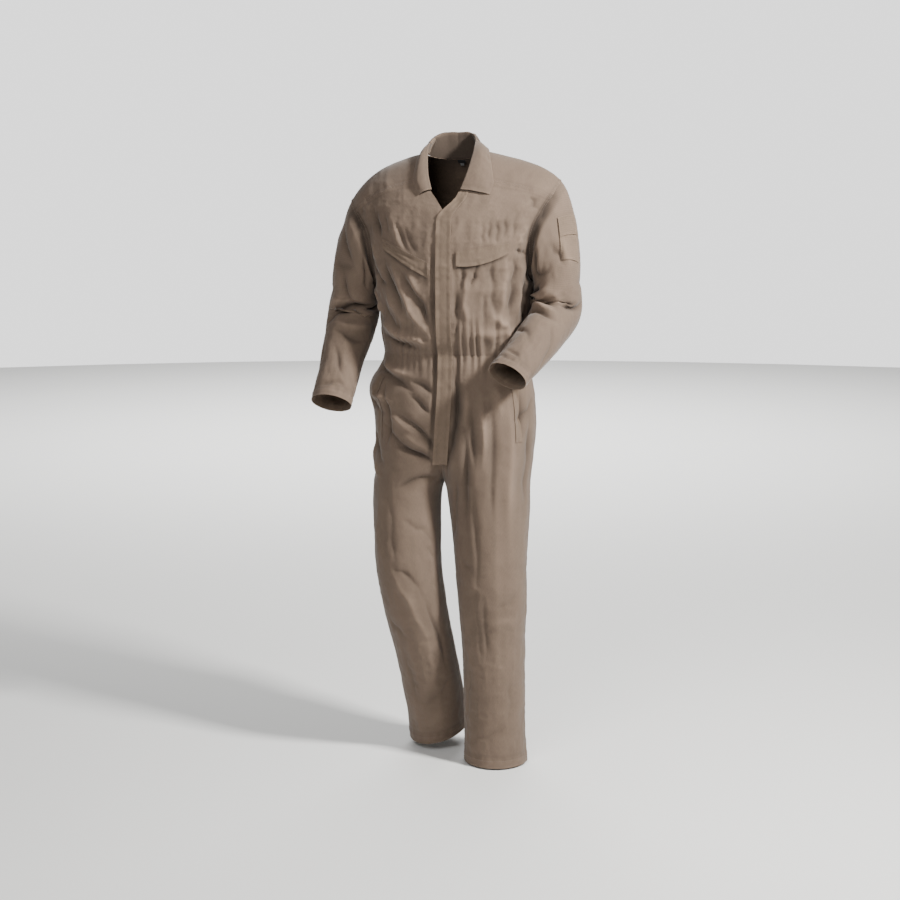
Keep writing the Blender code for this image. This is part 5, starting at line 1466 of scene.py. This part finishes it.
class SUIT_OT_placket(bpy.types.Operator):
    """Build the placket and the closed zip behind it"""

    bl_idname = "suit.placket"
    bl_label = "Placket and zip"

    def execute(self, context):
        across = np.linspace(0, 1, 13)
        base, normal, level, width = placket_grid(across, count(0.62))
        foot = 0.35 + 0.65 * ease(level, PLACKET_FOOT, PLACKET_FOOT + 0.05)
        v = np.broadcast_to(level, base.shape[:2])
        u = width * across
        rim = np.minimum(u, width - u)
        height = seam_height(rim, v, 111, band=0.006, pucker=0.0006)
        height = height + 0.0006 * rumple(u, v, 0.030, 113)
        lift = (2 * LAYER_GAP + sizes().trim) * foot + height
        # Rubbed paler at the rims and on crests, with painted shade in the hollows.
        wear_and_shade = 0.40 + 200 * height + 0.4 * hill(rim, 0, RIM_WEAR)
        sew_doubled("placket", (base, normal, u, v), lift, wear_and_shade,
                    sizes().trim)
        zip_tape()
        return {"FINISHED"}


def zip_tape():
    """The zip's tape behind the fronts, and its row of closed teeth."""
    level = np.linspace(ZIP_TOP, ZIP_FOOT, count(0.59))[:, None]
    aside = ZIP_HALF * np.linspace(-1, 1, 9)
    x = front_middle(level) + aside
    beneath = front_cloth(x, level)[0][..., 1].max(axis=1)
    # The tape lies behind the furthest back of the cloth within five rows of each of its own.
    reach = np.array([beneath[max(0, row - 5):row + 6].max() for row in range(len(beneath))])
    y = reach[:, None] + sizes().cloth + 3 * LAYER_GAP
    points = np.stack(np.broadcast_arrays(x, y, level), axis=-1)
    normal = np.broadcast_to([0.0, -1.0, 0.0], points.shape)
    item = shell("front_zip", points, normal, flat_uv(aside, level), 0 * x,
                 tape_finish("woven_zip_tape", colours().tape), sizes().tape)
    settle(item, "front_zip")
    middle = points[:, 4] + np.array([0, 0.0014, 0])
    teeth = beads("suit_zip_teeth", [(middle, -normal[:, 4])], TOOTH_PITCH, TOOTH_SIZE,
                  teeth_finish())
    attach(teeth, "root")


def bead_tree():
    """Geometry Nodes: one small rounded bead at each pitch along the given lines."""
    tree = bpy.data.node_groups.get("beads_along_lines")
    if tree:
        return tree
    tree = bpy.data.node_groups.new("beads_along_lines", "GeometryNodeTree")
    inputs = {"Lines": "Geometry", "Pitch": "Float", "Bead Size": "Vector", "Finish": "Material"}
    for name, kind in inputs.items():
        tree.interface.new_socket(name, in_out="INPUT", socket_type="NodeSocket" + kind)
    tree.interface.new_socket("Beads", in_out="OUTPUT", socket_type="NodeSocketGeometry")
    given = add(tree, "NodeGroupInput").outputs
    curve = add(tree, "GeometryNodeMeshToCurve", Mesh=given["Lines"])
    even = add(tree, "GeometryNodeResampleCurve", {"mode": "LENGTH"}, Curve=curve.outputs["Curve"],
               Length=given["Pitch"])
    along = add(tree, "GeometryNodeInputTangent")
    out = add(tree, "GeometryNodeInputNamedAttribute", {"data_type": "FLOAT_VECTOR"}, Name="out")
    first = add(tree, "FunctionNodeAlignRotationToVector", {"axis": "X"},
                Vector=along.outputs["Tangent"])
    second = add(tree, "FunctionNodeAlignRotationToVector", {"axis": "Z", "pivot_axis": "X"},
                 Rotation=first.outputs["Rotation"], Vector=out.outputs["Attribute"])
    bead = add(tree, "GeometryNodeMeshIcoSphere", Radius=0.5, Subdivisions=1)
    placed = add(tree, "GeometryNodeInstanceOnPoints", Points=even.outputs["Curve"],
                 Instance=bead.outputs["Mesh"], Rotation=second.outputs["Rotation"],
                 Scale=given["Bead Size"])
    real = add(tree, "GeometryNodeRealizeInstances", Geometry=placed.outputs["Instances"])
    done = add(tree, "GeometryNodeSetMaterial", Geometry=real.outputs["Geometry"],
               Material=given["Finish"])
    add(tree, "NodeGroupOutput", Beads=done.outputs["Geometry"])
    return tree


def beads(name, lines, pitch, size, finish):
    """A plain mesh of beads along lines, each given as its points and outward directions."""
    points = []
    outs = []
    edges = []
    for line, out in lines:
        edges += [(len(points) + i, len(points) + i + 1) for i in range(len(line) - 1)]
        points += line.tolist()
        outs += out.tolist()
    mesh = bpy.data.meshes.new(name)
    mesh.from_pydata(points, edges, [])
    mesh.attributes.new("out", "FLOAT_VECTOR", "POINT").data.foreach_set("vector", np.ravel(outs))
    item = bpy.data.objects.new(name, mesh)
    bpy.context.scene.collection.objects.link(item)
    modifier = item.modifiers.new("beads", "NODES")
    modifier.node_group = bead_tree()
    for socket in modifier.node_group.interface.items_tree:
        value = {"Pitch": pitch, "Bead Size": size, "Finish": finish}.get(socket.name)
        if value is not None and socket.in_out == "INPUT":
            modifier[socket.identifier] = value
    graph = bpy.context.evaluated_depsgraph_get()
    plain = bpy.data.meshes.new_from_object(item.evaluated_get(graph), depsgraph=graph)
    item.modifiers.clear()
    item.data = plain
    plain.shade_smooth()
    return item


class SUIT_OT_chest_flaps(bpy.types.Operator):
    """Build the slanted pocket flaps of the chest, standing off a little at their free edge"""

    bl_idname = "suit.chest_flaps"
    bl_label = "Chest flaps"

    def execute(self, context):
        for side in SIGN:
            chest_flap(side)
        return {"FINISHED"}


def chest_flap(side):
    """Makes one chest flap, on a grid of shares across from the placket and shares down."""
    across = np.linspace(0, 1, count(0.16))
    across, down = np.broadcast_arrays(across, np.linspace(0, 1, 14)[:, None])
    size = CHEST_FLAP[side]
    sign = SIGN[side]
    x = size["inner"] + (size["outer"] - size["inner"]) * across
    top, foot = flap_levels(size, across)
    level = top * (1 - down) + foot * down
    station, angle = front_spot(sign * x, level)
    away = surface_normal(body_point, station, angle, np.array([0.0, -1.0, 0.0]))
    smooth = body_point(station, angle)
    proud = np.maximum(np.sum((body_cloth(station, angle)[0] - smooth) * away, axis=-1), 0)
    rim = np.minimum(np.minimum((top - foot) * (1 - down), x - size["inner"]), size["outer"] - x)
    lift = sizes().trim + 2 * LAYER_GAP + FLAP_STAND * down**1.5 + 0.9 * proud
    if side == "right":
        lift = lift - 0.0022 * hill(down, 0.28 + 0.10 * across, 0.10) * ease(across, 0.25, 0.45)
    lift = lift + seam_height(np.maximum(rim, 0), x, 121 + sign, band=0.005, pucker=0.0005)
    wear_and_shade = 0.33 + 0.15 * hill(rim, 0, RIM_WEAR)
    sew_doubled("chest_flap_" + side, (smooth, away, sign * x, level), lift, wear_and_shade,
                sizes().trim)


class SUIT_OT_side_pockets(bpy.types.Operator):
    """Build the welts of the side pockets"""

    bl_idname = "suit.side_pockets"
    bl_label = "Side pockets"

    def execute(self, context):
        high, low, width = (POCKET_WELT[name] for name in ("high", "low", "width"))
        level = np.linspace(high, low, count(0.16))[:, None]
        outer = 0.86 + 0.03 * (high - level) / (high - low)
        across = np.linspace(0, 1, 7)
        for side, sign in SIGN.items():
            x = track(HIPS, "mid", level) + sign * (outer * track(HIPS, side, level) - width * across)
            points, normal = front_cloth(x, level)
            rim = np.minimum(across, 1 - across) * width + 0 * x
            lift = seam_height(rim, level + 0 * x, 131, band=0.004, pucker=0.0004)
            lift = lift + sizes().cloth + LAYER_GAP
            wear_and_shade = 0.35 + 0.2 * hill(rim, 0, RIM_WEAR)
            sew_doubled("pocket_welt_" + side, (points, normal, x, level), lift, wear_and_shade,
                        sizes().cloth)
        return {"FINISHED"}


class SUIT_OT_sleeve_pocket(bpy.types.Operator):
    """Build the small pocket and its flap on the left upper sleeve"""

    bl_idname = "suit.sleeve_pocket"
    bl_label = "Sleeve pocket"

    def execute(self, context):
        stations, lengths = sleeve_lengths("left")
        across = np.linspace(0, 1, 22)[None, :, None]
        down = np.linspace(0, 1, 24)[:, None, None]
        for layer, (node, corners) in enumerate(SLEEVE_POCKET.items(), 1):
            corner = np.array(corners)
            top = corner[0] * (1 - across) + corner[1] * across
            foot = corner[2] * (1 - across) + corner[3] * across
            spot = top * (1 - down) + foot * down
            cloth = sleeve_cloth("left", spot[..., 0], np.interp(spot[..., 1], lengths, stations))
            wide, long = np.abs(corner[3] - corner[0]) * np.array([SLEEVE_ROUND, 1.0])
            aside = np.minimum(across, 1 - across) * wide
            rim = np.minimum(aside, np.minimum(down, 1 - down) * long)[..., 0]
            lift = layer * (sizes().cloth + LAYER_GAP)
            lift = lift + seam_height(rim, cloth[2] + cloth[3], 141, band=0.005, pucker=0.0004)
            wear_and_shade = cloth[4] + 0.15 * hill(rim, 0, RIM_WEAR)
            sew_doubled(node, cloth, lift, wear_and_shade, sizes().cloth)
        return {"FINISHED"}


class SUIT_OT_labels(bpy.types.Operator):
    """Build the blank label and the blank tab inside the back of the neck"""

    bl_idname = "suit.labels"
    bl_label = "Labels"

    def execute(self, context):
        top = body_cloth(-NECK_BACK, 0.0)[0]
        down = unit(body_cloth(-NECK_BACK - 0.07, 0.0)[0] - top)
        inward = unit(np.cross(down, np.array([1.0, 0.0, 0.0])))
        inward = inward if inward[1] < 0 else -inward
        labels = (("neck_label", NECK_LABEL, "label_black", colours().label),
                  ("size_tab", SIZE_TAB, "label_grey", colours().tab))
        for node, size, slot, colour in labels:
            drop = np.linspace(size["top"], size["foot"], 7)[:, None, None]
            across = np.linspace(size["left"], size["right"], 9)[None, :, None]
            curl = 0.0012 * (across / 0.02) ** 2
            points = top + down * drop + np.array([1.0, 0, 0]) * across
            points = points + inward * (WALL + 2 * LAYER_GAP + curl)
            item = shell(node, points, np.broadcast_to(inward, points.shape),
                         flat_uv(across[..., 0], drop[..., 0]), np.zeros(points.shape[:2]),
                         tape_finish("woven_" + node, colour), sizes().tape)
            item.modifiers["thickness"].offset = 1
            settle(item, node)
        return {"FINISHED"}


def stitch_lines():
    """Points and outward directions of every row of stitches."""
    rows = []
    armhole = np.linspace(ARMPIT - 0.01, -ARMPIT + 0.01, 420)
    half = track(BODY, "half", armhole)
    side_seam = np.linspace(ARMPIT + 0.003, math.sqrt(WAIST_DROP), 90)
    part = np.linspace(0.02, 0.995, 90)
    for sign in SIGN.values():
        for inset in STITCH_INSETS:
            rows.append(body_cloth(armhole, sign * (arm_angle(armhole) - inset / half)))
        for inset in YOKE_STITCH_INSETS:
            row = np.full(90, YOKE_FRONT - inset / YOKE_FRONT_PACE)
            angle = neck_angle(row) * (1 - part) + arm_angle(row) * part
            rows.append(body_cloth(row, sign * angle))
        for inset in STITCH_INSETS:
            rows.append(body_cloth(side_seam, sign * (math.pi / 2 - inset / SIDE_ROUND)))
    for inset in YOKE_STITCH_INSETS:
        row = np.full(200, -YOKE_BACK + inset / YOKE_BACK_PACE)
        rows.append(body_cloth(row, arm_angle(row) * np.linspace(-0.995, 0.995, 200)))
    for side in SIGN:
        foot = LEGS[side]["key"][0]
        outside = np.linspace(-0.500, foot + 0.002, 420)
        inside = np.linspace(CROTCH - 0.004, foot + 0.002, 300)
        for inset in STITCH_INSETS:
            rows.append(leg_cloth(side, outside, inset / LEG_ROUND))
        for inset in STITCH_INSETS:
            rows.append(leg_cloth(side, inside, math.pi - inset / LEG_ROUND))
        rows.append(leg_cloth(side, foot + HEM_DEPTH - 0.001, np.linspace(-math.pi, math.pi, 260)))
        stations, lengths = sleeve_lengths(side)
        cuff = np.interp(lengths[-1] - CUFF_DEPTH + 0.001, lengths, stations)
        rows.append(sleeve_cloth(side, np.linspace(0, 1, 220), cuff))
        underarm = np.linspace(0.06, CUFF_STATION, 220)
        for inset in STITCH_INSETS:
            rows.append(sleeve_cloth(side, inset / SLEEVE_ROUND, underarm))
    return [(point + normal * STITCH_LIFT, normal) for point, normal, *rest in rows]


class SUIT_OT_stitching(bpy.types.Operator):
    """Sew the seams, hems and cuffs with rows of stitches"""

    bl_idname = "suit.stitching"
    bl_label = "Stitching"

    def execute(self, context):
        size = (sizes().stitch_length, sizes().thread, 0.7 * sizes().thread)
        item = beads("suit_topstitching", stitch_lines(), sizes().stitch_pitch, size, thread_finish())
        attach(item, "root")
        return {"FINISHED"}


def area_light(name, place, target, energy, size, colour=(1, 1, 1)):
    """A square light at a place, turned towards a target."""
    lamp = bpy.data.lights.new(name, "AREA")
    lamp.energy = energy
    lamp.size = size
    lamp.color = colour
    item = bpy.data.objects.new(name, lamp)
    item.location = place
    item.rotation_euler = (Vector(place) - Vector(target)).to_track_quat("Z", "Y").to_euler()
    bpy.context.scene.collection.objects.link(item)


def studio_floor():
    """A round, matt, pale floor just under the hems."""
    low = min(corner[2] for corner in CAD_BOX) - FLOOR_GAP
    turns = np.linspace(0, 2 * math.pi, 64, endpoint=False)
    ring = [(FLOOR_REACH * math.cos(turn), FLOOR_REACH * math.sin(turn), low) for turn in turns]
    mesh = bpy.data.meshes.new("studio_floor")
    mesh.from_pydata(ring, [], [tuple(range(len(ring)))])
    mesh.materials.append(clouded_finish("matt_pale_floor", colours().floor, 1.5, 0.01, 0.9))
    floor = bpy.data.objects.new("studio_floor", mesh)
    bpy.context.scene.collection.objects.link(floor)


def studio_world():
    """A studio's bright back wall, dimmer sides and a dim ceiling."""
    world = bpy.data.worlds.new("studio")
    world.use_nodes = True
    tree = world.node_tree
    direction = add(tree, "ShaderNodeTexCoord").outputs["Generated"]
    split = add(tree, "ShaderNodeSeparateXYZ", Vector=direction).outputs
    soft = {"interpolation_type": "SMOOTHSTEP"}
    wall = add(tree, "ShaderNodeMapRange", soft, Value=split["Y"], From_Min=0.70, From_Max=0.87,
               To_Min=0.19, To_Max=1.8)
    ceiling = add(tree, "ShaderNodeMapRange", soft, Value=split["Z"], From_Min=0.18, From_Max=0.45,
                  To_Min=1.0, To_Max=0.25)
    glow = add(tree, "ShaderNodeMath", {"operation": "MULTIPLY"}, i0=wall.outputs["Result"],
               i1=ceiling.outputs["Result"])
    tree.links.new(glow.outputs["Value"], tree.nodes["Background"].inputs["Strength"])
    tree.nodes["Background"].inputs["Color"].default_value = (1, 1, 1, 1)
    bpy.context.scene.world = world


def studio_camera():
    """A camera at chest height, a little to the wearer's left of straight ahead, tilted down."""
    camera = bpy.data.cameras.new("studio_camera")
    camera.lens = CAMERA_LENS
    camera.sensor_width = 36
    azimuth = math.radians(CAMERA_AZIMUTH)
    tilt = math.radians(CAMERA_TILT)
    # A small turn aside: 5 pixels at a focal length of 1481 pixels.
    pan = math.atan(5.0 / 1481.0)
    ahead = Vector((-math.sin(azimuth), math.cos(azimuth), 0))
    aside = Vector((math.cos(azimuth), math.sin(azimuth), 0))
    level = ahead * math.cos(pan) - aside * math.sin(pan)
    right = aside * math.cos(pan) + ahead * math.sin(pan)
    forward = level * math.cos(tilt) + Vector((0, 0, -1)) * math.sin(tilt)
    pose = Matrix((right, right.cross(forward), -forward)).transposed().to_4x4()
    pose.translation = -CAMERA_REACH * ahead + Vector((0, 0, CAMERA_HEIGHT))
    item = bpy.data.objects.new("studio_camera", camera)
    item.matrix_world = pose
    bpy.context.scene.collection.objects.link(item)
    bpy.context.scene.camera = item


class SUIT_OT_studio(bpy.types.Operator):
    """Set up the pale floor, soft studio light and camera"""

    bl_idname = "suit.studio"
    bl_label = "Studio"

    def execute(self, context):
        studio_floor()
        area_light("key", (2.15, -0.92, 1.15), (0, 0, -0.45), 245, 0.38, (1.0, 0.985, 0.96))
        area_light("fill", (-0.6, -2.8, 1.2), (0, 0, -0.4), 70, 1.8)
        area_light("backdrop", (-1.2, 5.5, 4.5), (-1.2, 9.5, -1.5), 1500, 5.0)
        studio_world()
        studio_camera()
        return {"FINISHED"}


class SUIT_PT_sidebar(bpy.types.Panel):
    """The suit's sizes, colours and steps"""

    bl_idname = "SUIT_PT_sidebar"
    bl_label = "Boiler suit"
    bl_space_type = "VIEW_3D"
    bl_region_type = "UI"
    bl_category = "Boiler suit"

    def draw(self, context):
        for group in (context.scene.suit_sizes, context.scene.suit_colours):
            box = self.layout.box()
            for name in group.__annotations__:
                box.prop(group, name)
        for operator in OPERATORS:
            self.layout.operator(operator.bl_idname)


OPERATORS = (
    SUIT_OT_studio,
    SUIT_OT_yoke_and_back,
    SUIT_OT_fronts,
    SUIT_OT_sleeves,
    SUIT_OT_trousers,
    SUIT_OT_collar,
    SUIT_OT_placket,
    SUIT_OT_chest_flaps,
    SUIT_OT_side_pockets,
    SUIT_OT_sleeve_pocket,
    SUIT_OT_labels,
    SUIT_OT_stitching,
)


def register():
    """Registers the classes and gives the scene their sizes and colours."""
    for item in (SuitSizes, SuitColours) + OPERATORS + (SUIT_PT_sidebar,):
        bpy.utils.register_class(item)
    bpy.types.Scene.suit_sizes = bpy.props.PointerProperty(type=SuitSizes)
    bpy.types.Scene.suit_colours = bpy.props.PointerProperty(type=SuitColours)


def unregister():
    """Takes back everything that register added."""
    del bpy.types.Scene.suit_colours
    del bpy.types.Scene.suit_sizes
    for item in reversed((SuitSizes, SuitColours) + OPERATORS + (SUIT_PT_sidebar,)):
        bpy.utils.unregister_class(item)


def main():
    """Builds the suit and its studio."""
    register()
    for operator in OPERATORS:
        group, name = operator.bl_idname.split(".")
        getattr(getattr(bpy.ops, group), name)()


if __name__ == "__main__":
    main()
